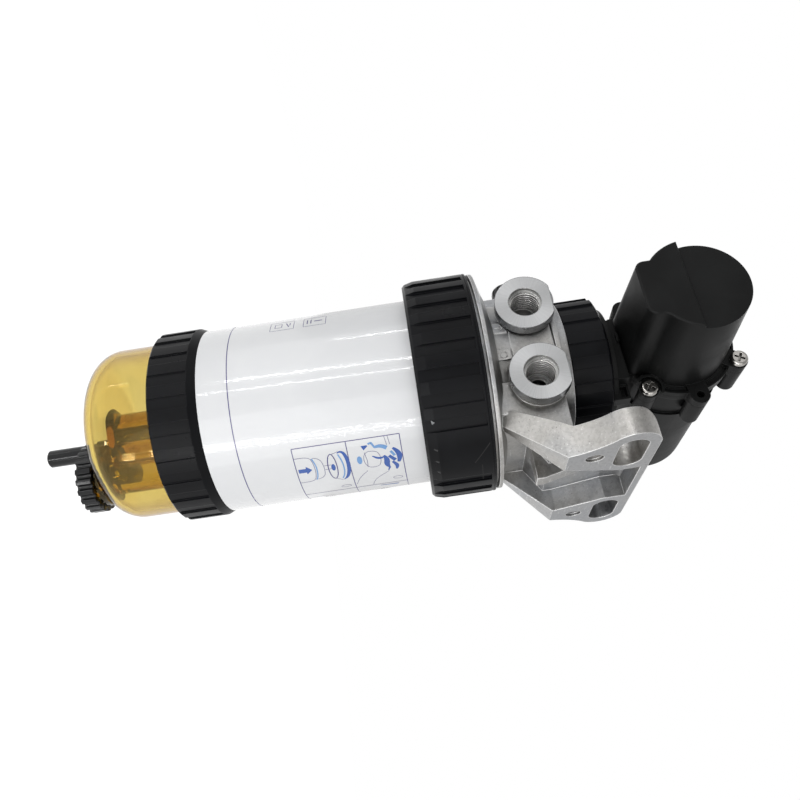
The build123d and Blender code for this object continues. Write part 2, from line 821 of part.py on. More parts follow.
# Bracket outlines in Y and Z: each has a straight foot, then arcs by start, middle and end
arm_foot = [arm_base_corner, arm_knee]
arm_ear = [
    (arm_knee, arm_hollow, ear_start),
    (ear_start, ear_side, ear_end),
    (ear_end, ear_corner, ear_top),
]
pocket_foot = [pocket_base_corner, pocket_knee]
pocket_side = [
    (pocket_knee, pocket_hollow, pocket_waist),
    (pocket_waist, pocket_upper, (pocket_upper[0], pad_top - end_wall)),
]
with BuildPart() as filter_head:
    # Bracket arms: a bent plate, as seen along Y, trimmed to the outline of the two ears
    with BuildSketch(Plane.XZ.offset(-pad_face)):
        with BuildLine():
            Polyline(
                (body_radius, arm_base),
                (pad_face - pad_foot + arm_base, arm_base),
                (pad_face, pad_foot),
                (pad_face, pad_top),
                (pad_back, pad_top),
                arm_elbow,
                arm_root,
                close=True,
            )
        profile_face = make_face()
        corners = profile_face.vertices()
        fillet(corners.sort_by_distance((pad_back, pad_top))[0], pad_back_round)
        fillet(corners.sort_by_distance((pad_face, pad_foot))[0], pad_foot_round)
        fillet(corners.sort_by_distance(arm_elbow)[0], arm_elbow_round)
    extrude(amount=2 * pad_face)
    extrude(mirrored(facing(0), arm_foot, arm_ear, pad_top), amount=2 * pad_face, mode=Mode.INTERSECT)
    extrude(
        mirrored(facing(0), pocket_foot, pocket_side, pad_top - end_wall),
        amount=2 * pad_face,
        mode=Mode.SUBTRACT,
    )

    # Wall between the arms, and the rib that stiffens it
    root_x = body_radius - wall_root_height
    root_top = wall_root + wall_root_height
    extrude(
        section([
            (wall_back, pad_top),
            (wall_face, pad_top),
            (wall_face, wall_foot),
            (body_radius + wall_root_height, wall_root),
            (body_radius + wall_root_height, arm_base),
            (root_x, arm_base),
            (root_x, root_top),
            (wall_back, arm_elbow[1]),
        ], Plane.XZ.offset(-wall_half)),
        amount=2 * wall_half,
    )
    extrude(
        section([
            (root_x, rib_base),
            (rib_reach, rib_base),
            (rib_reach, rib_shoulder),
            (wall_face, rib_top),
            (wall_back, rib_top),
            (wall_back, arm_elbow[1]),
            (root_x, root_top),
        ], Plane.XZ.offset(-rib_y - rib_width / 2)),
        amount=rib_width,
    )
    with BuildSketch(facing(0)):
        with Locations((slot_offset, slot_height), (-slot_offset, slot_height)):
            SlotOverall(slot_length, slot_width)
    extrude(amount=2 * pad_face, mode=Mode.SUBTRACT)
    with BuildSketch(facing(pad_face - dimple_depth)):
        with Locations((slot_offset, dimple_height), (-slot_offset, dimple_height)):
            Circle(dimple_radius)
    extrude(amount=2 * dimple_depth, mode=Mode.SUBTRACT)

    # Turned body: skirt, flange, cone, waist and the spigot under the pump
    revolve(
        section([
            (0, skirt_base),
            (skirt_radius, skirt_base),
            (skirt_radius, 0),
            (flange_radius, 0),
            (flange_radius, flange_edge),
            (shoulder_radius, shoulder_height),
            (cone_radius, cone_height),
            (waist_radius, waist_height),
            (body_radius, body_height),
            (head_spigot_radius, body_height),
            (head_spigot_radius, spigot_top),
            (0, spigot_top),
        ]),
        axis=Axis.Z,
    )

    # Port bosses, with machined rings that have a flat on the pump side
    with BuildSketch(across(0, z=0)):
        with Locations(*port_places):
            Circle(port_boss_radius)
    extrude(amount=port_face)
    with BuildSketch(across(ring_back, z=0)):
        with Locations(*port_places):
            Circle(port_ring_radius)
        flat_line = port_height + port_flat
        with Locations((0, flat_line + port_ring_radius)):
            Rectangle(4 * port_ring_radius + port_right_x, 2 * port_ring_radius, mode=Mode.SUBTRACT)
    extrude(amount=port_ring_thickness)

    # Web between the bosses with its rim, two plain letter pads, the pillar that runs
    # from the inlet boss into the bracket, and the bleed screw's boss on the far side
    with BuildSketch(across(0, port_middle, (web_base + web_top) / 2)):
        Rectangle(port_span, web_top - web_base)
    extrude(amount=web_front)
    with BuildSketch(across(0, port_middle, (web_rim_base + web_rim_top) / 2)):
        Rectangle(port_span, web_rim_top - web_rim_base)
    extrude(amount=web_front)
    with BuildSketch(across(0, z=(web_base + arm_base) / 2)):
        Rectangle(web_foot_width, web_base - arm_base)
    extrude(amount=web_foot_front)
    with BuildSketch(across(0, z=0)):
        with Locations(*letter_pads):
            Rectangle(letter_pad_width, letter_pad_height)
    extrude(amount=letter_pad_front)
    extrude(
        section([
            (pillar_left, web_base),
            (pillar_left, arm_base),
            (arm_root[0] + arm_base, arm_base),
            (arm_root[0] + arm_base, arm_root[1]),
            (arm_elbow[0] + arm_base, arm_elbow[1] - arm_base),
            (arm_elbow[0] - arm_base, web_top),
            (port_right_x, web_top),
        ], across(-pillar_back, z=0)),
        amount=pillar_front - pillar_back,
    )
    extrude(disc(facing(-bleed_boss_reach, bleed_y, bleed_z), bleed_boss_radius), amount=bleed_boss_reach)
    with BuildSketch(level(arm_base, -bleed_boss_reach / 2, bleed_y)):
        Rectangle(bleed_boss_reach, 2 * bleed_boss_radius)
    extrude(amount=bleed_z - arm_base)

    # Inside: the ring-shaped chamber, the standpipe's seat, the valve bore and the pump's well
    chamber_height = roof_height - skirt_base
    extrude(
        disc(level(skirt_base), skirt_radius - skirt_wall, centre_boss_radius),
        amount=chamber_height,
        mode=Mode.SUBTRACT,
    )
    pipe_bore = standpipe_radius + running
    extrude(disc(level(skirt_base), pipe_bore), amount=standpipe_top - skirt_base, mode=Mode.SUBTRACT)
    extrude(
        disc(level(standpipe_top), valve_bore_radius),
        amount=valve_bore_top - standpipe_top,
        mode=Mode.SUBTRACT,
    )
    extrude(disc(level(well_floor), insert_bore), amount=spigot_top - well_floor, mode=Mode.SUBTRACT)
    passage_place = (pipe_bore + centre_boss_radius) / 2 + cross_passage_radius
    extrude(
        disc(level(0, -passage_place), cross_passage_radius),
        amount=well_floor + end_gap,
        mode=Mode.SUBTRACT,
    )

    # Ports: threaded bores with a mouth, each with a drilling to the chamber that it serves
    port_axes = [across(-port_face, *place) for place in port_places]
    with Locations(*port_axes):
        CounterBoreHole(port_thread_radius, port_mouth_radius, port_mouth_depth, port_thread_depth)
    for place, target in zip(port_places, (outlet_drilling_end, inlet_drilling_end)):
        start = Vector(place[0], -thread_end - end_gap, place[1])
        drilling = Vector(*target) - start
        extrude(
            disc(Plane(origin=start, z_dir=drilling), port_passage_radius),
            amount=drilling.length,
            mode=Mode.SUBTRACT,
        )
    extrude(
        disc(across(seat_thickness - thread_end, *port_places[1]), inlet_seat_radius + running),
        amount=seat_thickness,
        mode=Mode.SUBTRACT,
    )
    bleed_bore_length = bleed_shank_length + bleed_bore_spare
    extrude(
        disc(facing(-bleed_boss_reach, bleed_y, bleed_z), bleed_shank_radius + running),
        amount=bleed_bore_length,
        mode=Mode.SUBTRACT,
    )
    bleed_duct_x = bleed_bore_length - bleed_boss_reach - bleed_duct_radius
    extrude(
        disc(level(0, bleed_duct_x, bleed_y), bleed_duct_radius),
        amount=bleed_z,
        mode=Mode.SUBTRACT,
    )
save("filter_head", filter_head)

# Standpipe: clean fuel rises in it to the valve seat at its top
with BuildPart() as standpipe:
    pipe_bore = standpipe_radius - standpipe_wall
    extrude(disc(level(standpipe_base), standpipe_radius, pipe_bore), amount=standpipe_top - standpipe_base)
    seat_base = standpipe_top - seat_thickness
    extrude(disc(level(seat_base), pipe_bore, valve_seat_radius), amount=seat_thickness)
save("standpipe", standpipe)

# Non-return valve: a disc with a guide stem, and the coil spring above it
with BuildPart() as check_valve:
    extrude(disc(level(standpipe_top), valve_radius), amount=valve_thickness)
    extrude(disc(level(standpipe_top + valve_thickness), valve_stem_radius), amount=valve_stem_length)
save("check_valve", check_valve)

spring_base = standpipe_top + valve_thickness + end_gap + spring_wire
spring_height = valve_bore_top - end_gap - spring_wire - spring_base
with BuildPart() as valve_spring:
    with BuildLine() as coil:
        pitch = spring_height / spring_turns
        Helix(pitch, spring_height, spring_radius, center=(0, 0, spring_base))
    with BuildSketch(Plane(origin=coil.line @ 0, z_dir=coil.line % 0)):
        RegularPolygon(spring_wire, 6)
    sweep(path=coil.line, is_frenet=True)
save("valve_spring", valve_spring)

# Seat ring at the bottom of the inlet port
with BuildPart() as inlet_seat:
    seat_plane = across(seat_thickness - thread_end, port_right_x, port_height)
    extrude(disc(seat_plane, inlet_seat_radius, port_passage_radius), amount=seat_thickness)
save("inlet_seat", inlet_seat)

# Bleed screw: a fluted cap with a domed edge and a shank, and its washer
bleed_seal_face = -bleed_boss_reach - bleed_seal_height
with BuildPart() as bleed_seal:
    washer_radius = bleed_cap_radius - bleed_flute_radius
    washer_bore = bleed_shank_radius + running
    washer = disc(facing(bleed_seal_face, bleed_y, bleed_z), washer_radius, washer_bore)
    extrude(washer, amount=bleed_seal_height)
save("bleed_seal", bleed_seal)

cap_face = bleed_seal_face - end_gap
with BuildPart() as bleed_screw:
    cap_plane = facing(cap_face - bleed_cap_height, bleed_y, bleed_z)
    extrude(disc(cap_plane, bleed_cap_radius), amount=bleed_cap_height)
    fillet(bleed_screw.edges().group_by(Axis.X)[0], bleed_cap_dome)
    with BuildSketch(cap_plane):
        with PolarLocations(bleed_cap_radius, bleed_flute_count):
            Circle(bleed_flute_radius)
    extrude(amount=bleed_cap_height, mode=Mode.SUBTRACT)
    extrude(disc(facing(cap_face, bleed_y, bleed_z), bleed_shank_radius), amount=bleed_shank_length)
save("bleed_screw", bleed_screw)

# Ring nut that clamps the pump on the head
with BuildPart() as pump_ring_nut:
    pitch = 360 / nut_rib_count
    starts = [nut_rib_start + pitch * rib for rib in range(nut_rib_count)]
    bands = [(start, start + nut_rib_width) for start in starts]
    extrude(ribbed(level(nut_base), nut_crest_radius, nut_groove_depth, bands), amount=nut_height)
    revolve(
        section([
            (0, nut_base),
            (nut_crest_radius, nut_base),
            (nut_crest_radius, nut_top - nut_chamfer_height),
            (nut_crest_radius - nut_chamfer, nut_top),
            (0, nut_top),
        ]),
        axis=Axis.Z,
        mode=Mode.INTERSECT,
    )
    extrude(disc(level(nut_base), neck_radius + running), amount=nut_height, mode=Mode.SUBTRACT)
    thread_bore = disc(level(nut_base), head_spigot_radius + running)
    extrude(thread_bore, amount=nut_ledge_base - nut_base, mode=Mode.SUBTRACT)
save("pump_ring_nut", pump_ring_nut)

# Pump insert: the flange that the ring nut clamps, with its spigot in the head's well
insert_base = spigot_top - insert_depth
insert_seal_base = insert_base + pump_seal_height
with BuildPart() as pump_insert:
    extrude(disc(level(spigot_top), head_spigot_radius, insert_bore_radius), amount=insert_flange_height)
    extrude(disc(level(insert_base), insert_radius, insert_bore_radius), amount=insert_depth)
    extrude(
        disc(level(insert_seal_base), insert_radius + end_gap, insert_radius - pump_seal_height / 2),
        amount=pump_seal_height,
        mode=Mode.SUBTRACT,
    )
save("pump_insert", pump_insert)

with BuildPart() as pump_seal:
    seal_inner = insert_radius - pump_seal_height / 2
    extrude(disc(level(insert_seal_base), insert_radius, seal_inner), amount=pump_seal_height)
save("pump_seal", pump_seal)


def lugs(plane):
    """The six screw lugs, each with the web that ties it to the cover's wall."""
    with BuildSketch(plane) as face:
        for angle in lug_angles:
            with Locations(polar(lug_circle, angle)):
                Circle(lug_radius)
            with Locations(polar(lug_circle / 2, angle)):
                Rectangle(lug_circle, 2 * lug_radius, rotation=angle)
    return face.sketch


def flange_ring(plane):
    """Rim of the joint between pump housing and cover, with the part under the nose."""
    with BuildSketch(plane) as face:
        Circle(cover_flange_radius)
        with Locations((cover_nose_shift, -cover_nose_reach / 2)):
            Rectangle(cover_nose_width, cover_nose_reach)
    return face.sketch


def cover_outline(plane, inset):
    """Round cover with a blunt nose towards the filter, drawn in by an inset."""
    half_width = cover_nose_width / 2 - inset
    with BuildSketch(plane) as face:
        with Locations((cover_nose_shift, -cover_nose_reach / 2)):
            Rectangle(2 * half_width, cover_nose_reach - 2 * inset)
        tip = face.vertices().group_by(Axis.Y)[0]
        fillet(tip, cover_nose_corner - inset)
        Circle(cover_radius - inset)
        sides = face.vertices().filter_by(
            lambda corner: abs(abs(corner.X - cover_nose_shift) - half_width) < running
        )
        right = sides.filter_by(lambda v: v.X > 0).sort_by(Axis.Y)[-1]
        left = sides.filter_by(lambda v: v.X < 0).sort_by(Axis.Y)[-1]
        fillet([right, left], cover_throat)
    return face.sketch


# Pump cover: a drafted cap with a blunt nose and a raised half on its end, then the
# flange with a groove in its rim, the lugs, and a guard round the screw beside the nose.
# The raised half keeps its full radius on the side away from the bracket.
with BuildPart() as pump_cover:
    extrude(cover_outline(across(joint_y), 0), amount=cover_length + cover_step, taper=cover_draft)
    with BuildSketch(across(joint_y)):
        Circle(cover_radius)
        with Locations((0, -cover_crease)):
            Rectangle(cover_radius, cover_radius, align=(Align.MAX, Align.MAX), mode=Mode.INTERSECT)
    extrude(amount=cover_length + cover_step)
    with BuildSketch(across(cover_end)):
        with Locations((0, cover_radius - cover_crease)):
            Rectangle(3 * cover_radius, 2 * cover_radius)
    extrude(amount=2 * cover_step, mode=Mode.SUBTRACT)
    chamfer(pump_cover.faces().sort_by(Axis.Y)[0].edges(), length=cover_edge)
    extrude(flange_ring(across(joint_y)), amount=cover_flange_height)
    groove_outer = cover_flange_radius - flange_rim_width
    groove_floor = joint_y - cover_flange_height + flange_groove_depth
    extrude(
        disc(across(groove_floor), groove_outer, groove_outer - flange_groove_width),
        amount=flange_groove_depth,
        mode=Mode.SUBTRACT,
    )
    extrude(lugs(across(joint_y)), amount=lug_height)
    guard_x, guard_z = polar(lug_circle, guard_angle)
    with BuildSketch(across(lug_face, guard_x, motor_height + guard_z)):
        Circle(guard_radius)
        Circle(guard_radius - guard_wall, mode=Mode.SUBTRACT)
        with Locations(polar(guard_radius, guard_angle)):
            Rectangle(2 * guard_radius, 2 * guard_radius, rotation=guard_angle, mode=Mode.SUBTRACT)
    extrude(amount=guard_height)
    extrude(
        cover_outline(across(joint_y), cover_wall),
        amount=cover_length - cover_wall,
        taper=cover_draft,
        mode=Mode.SUBTRACT,
    )
    with Locations(*[across(lug_face, x, motor_height + z) for x, z in lug_places]):
        Hole(screw_shank_radius + running, lug_height)
save("pump_cover", pump_cover)

# Gasket between the cover and the housing
with BuildPart() as cover_gasket:
    extrude(flange_ring(across(housing_face)), amount=gasket_thickness)
    extrude(lugs(across(housing_face)), amount=gasket_thickness)
    extrude(cover_outline(across(housing_face), cover_wall), amount=gasket_thickness, mode=Mode.SUBTRACT)
    with Locations(*[across(joint_y, x, motor_height + z) for x, z in lug_places]):
        Hole(screw_shank_radius + running, gasket_thickness)
save("cover_gasket", cover_gasket)

# Cross-recessed pan screws in three of the six lugs
with BuildPart() as cover_screws:
    for angle in screw_lugs:
        x, z = polar(lug_circle, angle)
        seat = across(lug_face, x, motor_height + z)
        extrude(disc(seat, screw_head_radius), amount=screw_head_height)
        extrude(disc(seat, screw_shank_radius), amount=-screw_length)
    fillet(cover_screws.edges().group_by(Axis.Y)[0], screw_head_round)
    for angle in screw_lugs:
        x, z = polar(lug_circle, angle)
        with BuildSketch(across(lug_face - screw_head_height, x, motor_height + z)):
            Rectangle(screw_recess_length, screw_recess_width, rotation=angle)
            Rectangle(screw_recess_width, screw_recess_length, rotation=angle)
        extrude(amount=-screw_recess_depth, mode=Mode.SUBTRACT)
save("cover_screws", cover_screws)

# Pump housing: motor barrel, neck with its ring over the nut, joint flange with screw
# bosses, a saddle block between neck and flange, and the plug socket.
with BuildPart() as pump_housing:
    extrude(disc(across(housing_end), barrel_radius), amount=housing_end - barrel_start)
    fillet(pump_housing.edges().group_by(Axis.Y)[-1], housing_corner)
    extrude(disc(across(barrel_start), housing_radius), amount=barrel_start - housing_face)
    extrude(disc(level(insert_top), neck_radius), amount=neck_ring_top - insert_top)
    extrude(disc(level(neck_base), neck_ring_radius), amount=neck_ring_thickness)
    with BuildSketch(level(neck_ring_top, 0, (housing_face + neck_radius) / 2)):
        Rectangle(saddle_neck_width, neck_radius - housing_face)
    extrude(amount=motor_height - neck_ring_top)
    extrude(flange_ring(across(housing_face + cover_flange_height)), amount=cover_flange_height)
    with BuildSketch(across(housing_face + lug_post_length)):
        with Locations(*lug_places):
            Circle(lug_radius)
    extrude(amount=lug_post_length)
    extrude(lugs(across(housing_face + cover_flange_height)), amount=cover_flange_height)

    # Saddle on the neck ring: front wall, a wing with a pocket on the near side, and a clip
    saddle_depth = saddle_top - neck_base
    block_middle = ((saddle_left + saddle_right) / 2, (saddle_front + housing_face) / 2)
    with BuildSketch(level(neck_base, *block_middle)):
        Rectangle(saddle_right - saddle_left, housing_face - saddle_front)
    extrude(amount=saddle_depth)
    wing_middle = (saddle_wing_right / 2, (saddle_wing_front + housing_face) / 2)
    with BuildSketch(level(neck_base, *wing_middle)):
        Rectangle(saddle_wing_right, housing_face - saddle_wing_front)
    extrude(amount=saddle_depth)
    pocket_span = saddle_wing_right - saddle_right - 2 * saddle_pocket_wall
    pocket_middle = ((saddle_wing_right + saddle_right) / 2, (neck_ring_top + saddle_top) / 2)
    with BuildSketch(across(saddle_wing_front + saddle_pocket_depth, *pocket_middle)):
        Rectangle(pocket_span, saddle_height - 2 * saddle_pocket_wall)
    extrude(amount=saddle_pocket_depth, mode=Mode.SUBTRACT)
    for bar in (neck_ring_top, saddle_top - clip_bar):
        with BuildSketch(across(saddle_front, clip_left + clip_width / 2, bar + clip_bar / 2)):
            Rectangle(clip_width, clip_bar)
        extrude(amount=clip_proud)
    with BuildSketch(facing(-socket_reach, socket_y, motor_height)):
        RectangleRounded(socket_width, socket_depth, socket_corner)
    extrude(amount=socket_reach)
    with BuildSketch(motor_section):
        bore_end = housing_end - housing_wall
        with Locations((bore_end, 0)):
            bore_face = Rectangle(housing_length, housing_bore, align=(Align.MAX, Align.MIN))
        fillet(bore_face.vertices().group_by(Axis.X)[-1].sort_by(Axis.Y)[-1], housing_corner - housing_wall)
    revolve(axis=motor_axis, mode=Mode.SUBTRACT)
    cavity = cover_outline(across(housing_face + lug_post_length), cover_wall)
    extrude(cavity, amount=lug_post_length, mode=Mode.SUBTRACT)
    extrude(disc(level(insert_top), insert_bore_radius), amount=neck_base - insert_top, mode=Mode.SUBTRACT)
    duct = disc(level(insert_top, 0, duct_y), duct_radius)
    extrude(duct, amount=motor_height - insert_top, mode=Mode.SUBTRACT)
    with BuildSketch(facing(-socket_reach, socket_y, motor_height)):
        RectangleRounded(socket_width - 2 * socket_wall, socket_depth - 2 * socket_wall, socket_corner / 2)
    extrude(amount=socket_recess, mode=Mode.SUBTRACT)
    with Locations(*[across(housing_face, x, motor_height + z) for x, z in lug_places]):
        Hole(screw_shank_radius, pilot_depth)
save("pump_housing", pump_housing)

# Terminals of the plug socket, set in its floor
socket_floor = socket_recess - socket_reach
with BuildPart() as connector_pins:
    with BuildSketch(facing(socket_floor, socket_y, motor_height)):
        with GridLocations(pin_pitch, 0, 2, 1):
            Rectangle(pin_width, pin_thickness)
    extrude(amount=-pin_length)
save("connector_pins", connector_pins)

# Motor: can, magnets, brushes and bearings stand still
with BuildPart() as motor_can:
    extrude(disc(across(motor_end), motor_radius), amount=motor_length)
    fillet(motor_can.edges().group_by(Axis.Y)[0], motor_wall)
    can_bore = disc(across(motor_end), motor_radius - motor_wall)
    extrude(can_bore, amount=motor_length - motor_wall, mode=Mode.SUBTRACT)
save("motor_can", motor_can)

with BuildPart() as motor_bearing:
    extrude(disc(across(top_bearing_end), bearing_radius, shaft_radius + running), amount=bearing_length)
save("motor_bearing", motor_bearing)

with BuildPart() as motor_magnets:
    outer = motor_radius - motor_wall
    extrude(disc(across(magnet_end), outer, outer - magnet_thickness), amount=magnet_length)
    with BuildSketch(across(magnet_end)):
        Rectangle(2 * outer * cos(radians(magnet_arc / 2)), 2 * motor_radius)
    extrude(amount=magnet_length, mode=Mode.SUBTRACT)
save("motor_magnets", motor_magnets)

with BuildPart() as brush_plate:
    plate_radius = motor_radius - motor_wall - running
    plate_bore = bearing_radius + brush_width / 2
    extrude(disc(across(brush_plate_end), plate_radius, plate_bore), amount=brush_plate_thickness)
save("brush_plate", brush_plate)

with BuildPart() as brushes:
    brush_inner = commutator_radius + running
    with BuildSketch(across(commutator_end - end_gap)):
        with GridLocations(2 * brush_inner + brush_length, 0, 2, 1):
            Rectangle(brush_length, brush_width)
    extrude(amount=commutator_end - end_gap - brush_plate_end)
save("brushes", brushes)

# Rotor: shaft, slotted core with its windings, commutator and impeller turn together
with BuildPart() as motor_shaft:
    extrude(disc(across(shaft_end), shaft_radius), amount=shaft_end - shaft_start)
    chamfer(motor_shaft.edges().filter_by(GeomType.CIRCLE), length=end_gap)
save("motor_shaft", motor_shaft)

core_radius = motor_radius - motor_wall - magnet_thickness - rotor_gap
with BuildPart() as armature_core:
    with BuildSketch(across(core_end)):
        Circle(core_radius)
        with PolarLocations(core_radius - rotor_slot_depth / 2, rotor_slots):
            Rectangle(rotor_slot_depth, rotor_slot_width, mode=Mode.SUBTRACT)
        Circle(shaft_radius, mode=Mode.SUBTRACT)
    extrude(amount=core_length)
save("armature_core", armature_core)

with BuildPart() as armature_windings:
    coil_radius = core_radius - rotor_slot_depth / 2
    for end in (core_end + winding_length, core_end - core_length):
        extrude(disc(across(end), coil_radius, shaft_radius), amount=winding_length)
save("armature_windings", armature_windings)

with BuildPart() as commutator:
    with BuildSketch(across(commutator_end)):
        Circle(commutator_radius)
        Circle(shaft_radius, mode=Mode.SUBTRACT)
        with PolarLocations(commutator_radius, 2 * rotor_slots):
            Rectangle(end_gap * 2, end_gap, mode=Mode.SUBTRACT)
    extrude(amount=commutator_length)
save("commutator", commutator)

with BuildPart() as impeller:
    with BuildSketch(across(impeller_end)):
        Circle(impeller_radius)
        Circle(shaft_radius, mode=Mode.SUBTRACT)
        with PolarLocations(impeller_radius - vane_depth / 2, vane_count):
            Rectangle(vane_depth, vane_gap_width, mode=Mode.SUBTRACT)
    extrude(amount=impeller_thickness)
save("impeller", impeller)

# Pump works: body with the lower bearing, end plate with its two kidney ports, strainer
pump_radius = housing_bore - running
with BuildPart() as pump_body:
    extrude(disc(across(pump_body_end), pump_radius), amount=pump_body_length)
    impeller_room = disc(across(pump_body_end), impeller_radius + end_gap)
    extrude(impeller_room, amount=impeller_thickness + 2 * end_gap, mode=Mode.SUBTRACT)
    shaft_bore = disc(across(pump_body_end), shaft_radius + running)
    extrude(shaft_bore, amount=pump_body_length, mode=Mode.SUBTRACT)
    bearing_seat = disc(across(motor_end + bearing_length), bearing_radius + running)
    extrude(bearing_seat, amount=bearing_length, mode=Mode.SUBTRACT)
save("pump_body", pump_body)

with BuildPart() as pump_bearing:
    bearing_plane = across(motor_end + bearing_length)
    extrude(disc(bearing_plane, bearing_radius, shaft_radius + running), amount=bearing_length)
save("pump_bearing", pump_bearing)

with BuildPart() as pump_end_plate:
    extrude(disc(across(end_plate_end), pump_radius), amount=end_plate_thickness)
    kidney_radius = impeller_radius - vane_depth / 2
    with BuildSketch(across(end_plate_end)):
        for start in (kidney_start, kidney_start + 180):
            SlotArc(CenterArc((0, 0), kidney_radius, start, kidney_arc), 2 * port_arc_radius)
    extrude(amount=end_plate_thickness, mode=Mode.SUBTRACT)
save("pump_end_plate", pump_end_plate)

with BuildPart() as strainer:
    extrude(disc(across(strainer_end), strainer_radius), amount=strainer_length)
    strainer_bore = disc(across(strainer_end - strainer_wall), strainer_radius - strainer_wall)
    extrude(strainer_bore, amount=strainer_length, mode=Mode.SUBTRACT)
    with BuildSketch(across(strainer_end - 2 * strainer_wall)):
        with PolarLocations(strainer_radius, strainer_slots):
            Rectangle(4 * strainer_wall, strainer_slot_width)
    extrude(amount=strainer_length - 4 * strainer_wall, mode=Mode.SUBTRACT)
save("strainer", strainer)
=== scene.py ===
import json
import math

import bpy
import numpy as np
from mathutils import Matrix, Vector


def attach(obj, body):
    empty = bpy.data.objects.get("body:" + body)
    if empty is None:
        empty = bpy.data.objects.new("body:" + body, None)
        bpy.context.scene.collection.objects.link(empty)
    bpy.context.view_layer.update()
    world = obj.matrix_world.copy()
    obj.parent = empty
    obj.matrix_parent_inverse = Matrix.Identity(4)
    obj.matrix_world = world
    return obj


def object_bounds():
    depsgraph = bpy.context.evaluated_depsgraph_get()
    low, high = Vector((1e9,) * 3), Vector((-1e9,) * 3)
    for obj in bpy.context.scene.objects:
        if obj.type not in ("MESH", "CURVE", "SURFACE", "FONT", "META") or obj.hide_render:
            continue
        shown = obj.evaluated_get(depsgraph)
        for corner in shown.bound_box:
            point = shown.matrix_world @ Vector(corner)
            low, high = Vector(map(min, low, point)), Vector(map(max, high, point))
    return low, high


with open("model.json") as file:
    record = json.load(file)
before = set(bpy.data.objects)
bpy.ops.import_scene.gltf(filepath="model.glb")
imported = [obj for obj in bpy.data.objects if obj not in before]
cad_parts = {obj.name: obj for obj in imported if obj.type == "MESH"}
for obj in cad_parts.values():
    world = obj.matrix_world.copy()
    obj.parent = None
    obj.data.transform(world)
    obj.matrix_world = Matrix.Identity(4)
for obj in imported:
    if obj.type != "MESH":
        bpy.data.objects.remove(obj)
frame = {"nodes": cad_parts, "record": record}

cad_low, cad_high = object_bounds()

# Camera: the photograph was taken from the front right, level with the top of the can,
# with the filter lying across the picture. The lens is given for a square frame.
camera_place = Vector((0.1589, -0.3065, -0.0305))
camera_azimuth = math.radians(26.94)
camera_elevation = math.radians(1.30)
camera_roll = math.radians(8.54)
camera_lens = 33.265

look = Vector((
    -math.sin(camera_azimuth) * math.cos(camera_elevation),
    math.cos(camera_azimuth) * math.cos(camera_elevation),
    -math.sin(camera_elevation),
))
axis_across = (Vector((0, 0, 1)) - look * look.z).normalized()
below = look.cross(axis_across)
right = axis_across * math.cos(camera_roll) + below * math.sin(camera_roll)
down = look.cross(right)
camera_data = bpy.data.cameras.new("camera")
camera_data.lens = camera_lens
camera_data.sensor_width = 36.0
camera_data.clip_start = 0.01
camera = bpy.data.objects.new("camera", camera_data)
bpy.context.scene.collection.objects.link(camera)
turn = Matrix((right, -down, -look)).transposed().to_4x4()
camera.matrix_world = Matrix.Translation(camera_place) @ turn
bpy.context.scene.camera = camera
bpy.context.scene.view_settings.view_transform = "Standard"

# Studio: a white floor well under the hanging filter and a white surround. The camera sees
# both glow, also through the clear bowl. Reflections find the surround dimmer, most of all
# on the side of the ports, and the floor takes the object's shadow.
floor_drop = 0.45
floor_half = 4.0
floor_glow = 0.60
surround_level = 0.55
front_level = 0.45
back_level = 0.72
dim_end, dim_start = -0.45, 0.15


def add(tree, kind, *values, settings=None, **sockets):
    """New shader node. Values fill its sockets in order and named ones fill theirs; a socket given
    as a value becomes a link. Settings are the node's own properties."""
    new = tree.nodes.new("ShaderNode" + kind)
    for name, value in (settings or {}).items():
        setattr(new, name, value)
    named = [(name.replace("_", " "), value) for name, value in sockets.items()]
    for key, value in list(enumerate(values)) + named:
        if isinstance(value, bpy.types.NodeSocket):
            tree.links.new(value, new.inputs[key])
        elif value is not None:
            new.inputs[key].default_value = value
    return new


def maths(tree, operation, *values):
    """Result of one Math node."""
    return add(tree, "Math", *values, settings={"operation": operation}).outputs[0]


def vector(tree, operation, *values):
    """Vector Math node for one operation."""
    return add(tree, "VectorMath", *values, settings={"operation": operation})


def between(tree, factor, low, high, start=0.0, end=1.0):
    """Number that goes from low to high while the factor goes from start to end."""
    return add(tree, "MapRange", factor, start, end, low, high).outputs[0]


def grid_mesh(name, grids):
    """One piece from surfaces that each run through an array of points (rows u, columns v), every
    cell being a face. A grid is (points, closed_u, closed_v); a closed direction joins its last
    row or column to the first one."""
    places, faces, first = [], [], 0
    for points, closed_u, closed_v in grids:
        rows, columns = points.shape[:2]
        u = np.arange(rows if closed_u else rows - 1)
        v = np.arange(columns if closed_v else columns - 1)
        u, v = [a.ravel() for a in np.meshgrid(u, v, indexing="ij")]
        u_next, v_next = (u + 1) % rows, (v + 1) % columns
        row, row_next = first + u * columns, first + u_next * columns
        faces.append(np.stack([row + v, row_next + v, row_next + v_next, row + v_next], axis=1))
        places.append(points.reshape(-1, 3))
        first += rows * columns
    mesh = bpy.data.meshes.new(name)
    mesh.from_pydata(np.concatenate(places), [], np.concatenate(faces))
    mesh.polygons.foreach_set("use_smooth", np.full(len(mesh.polygons), True))
    mesh.update()
    piece = bpy.data.objects.new(name, mesh)
    bpy.context.scene.collection.objects.link(piece)
    return piece


def material(name, colour, roughness, metallic=0.0):
    """New node material; returns it with its tree and its Principled shader."""
    new = bpy.data.materials.new(name)
    new.use_nodes = True
    tree = new.node_tree
    shader = tree.nodes["Principled BSDF"]
    shader.inputs["Base Color"].default_value = (*colour, 1.0)
    shader.inputs["Roughness"].default_value = roughness
    shader.inputs["Metallic"].default_value = metallic
    return new, tree, shader


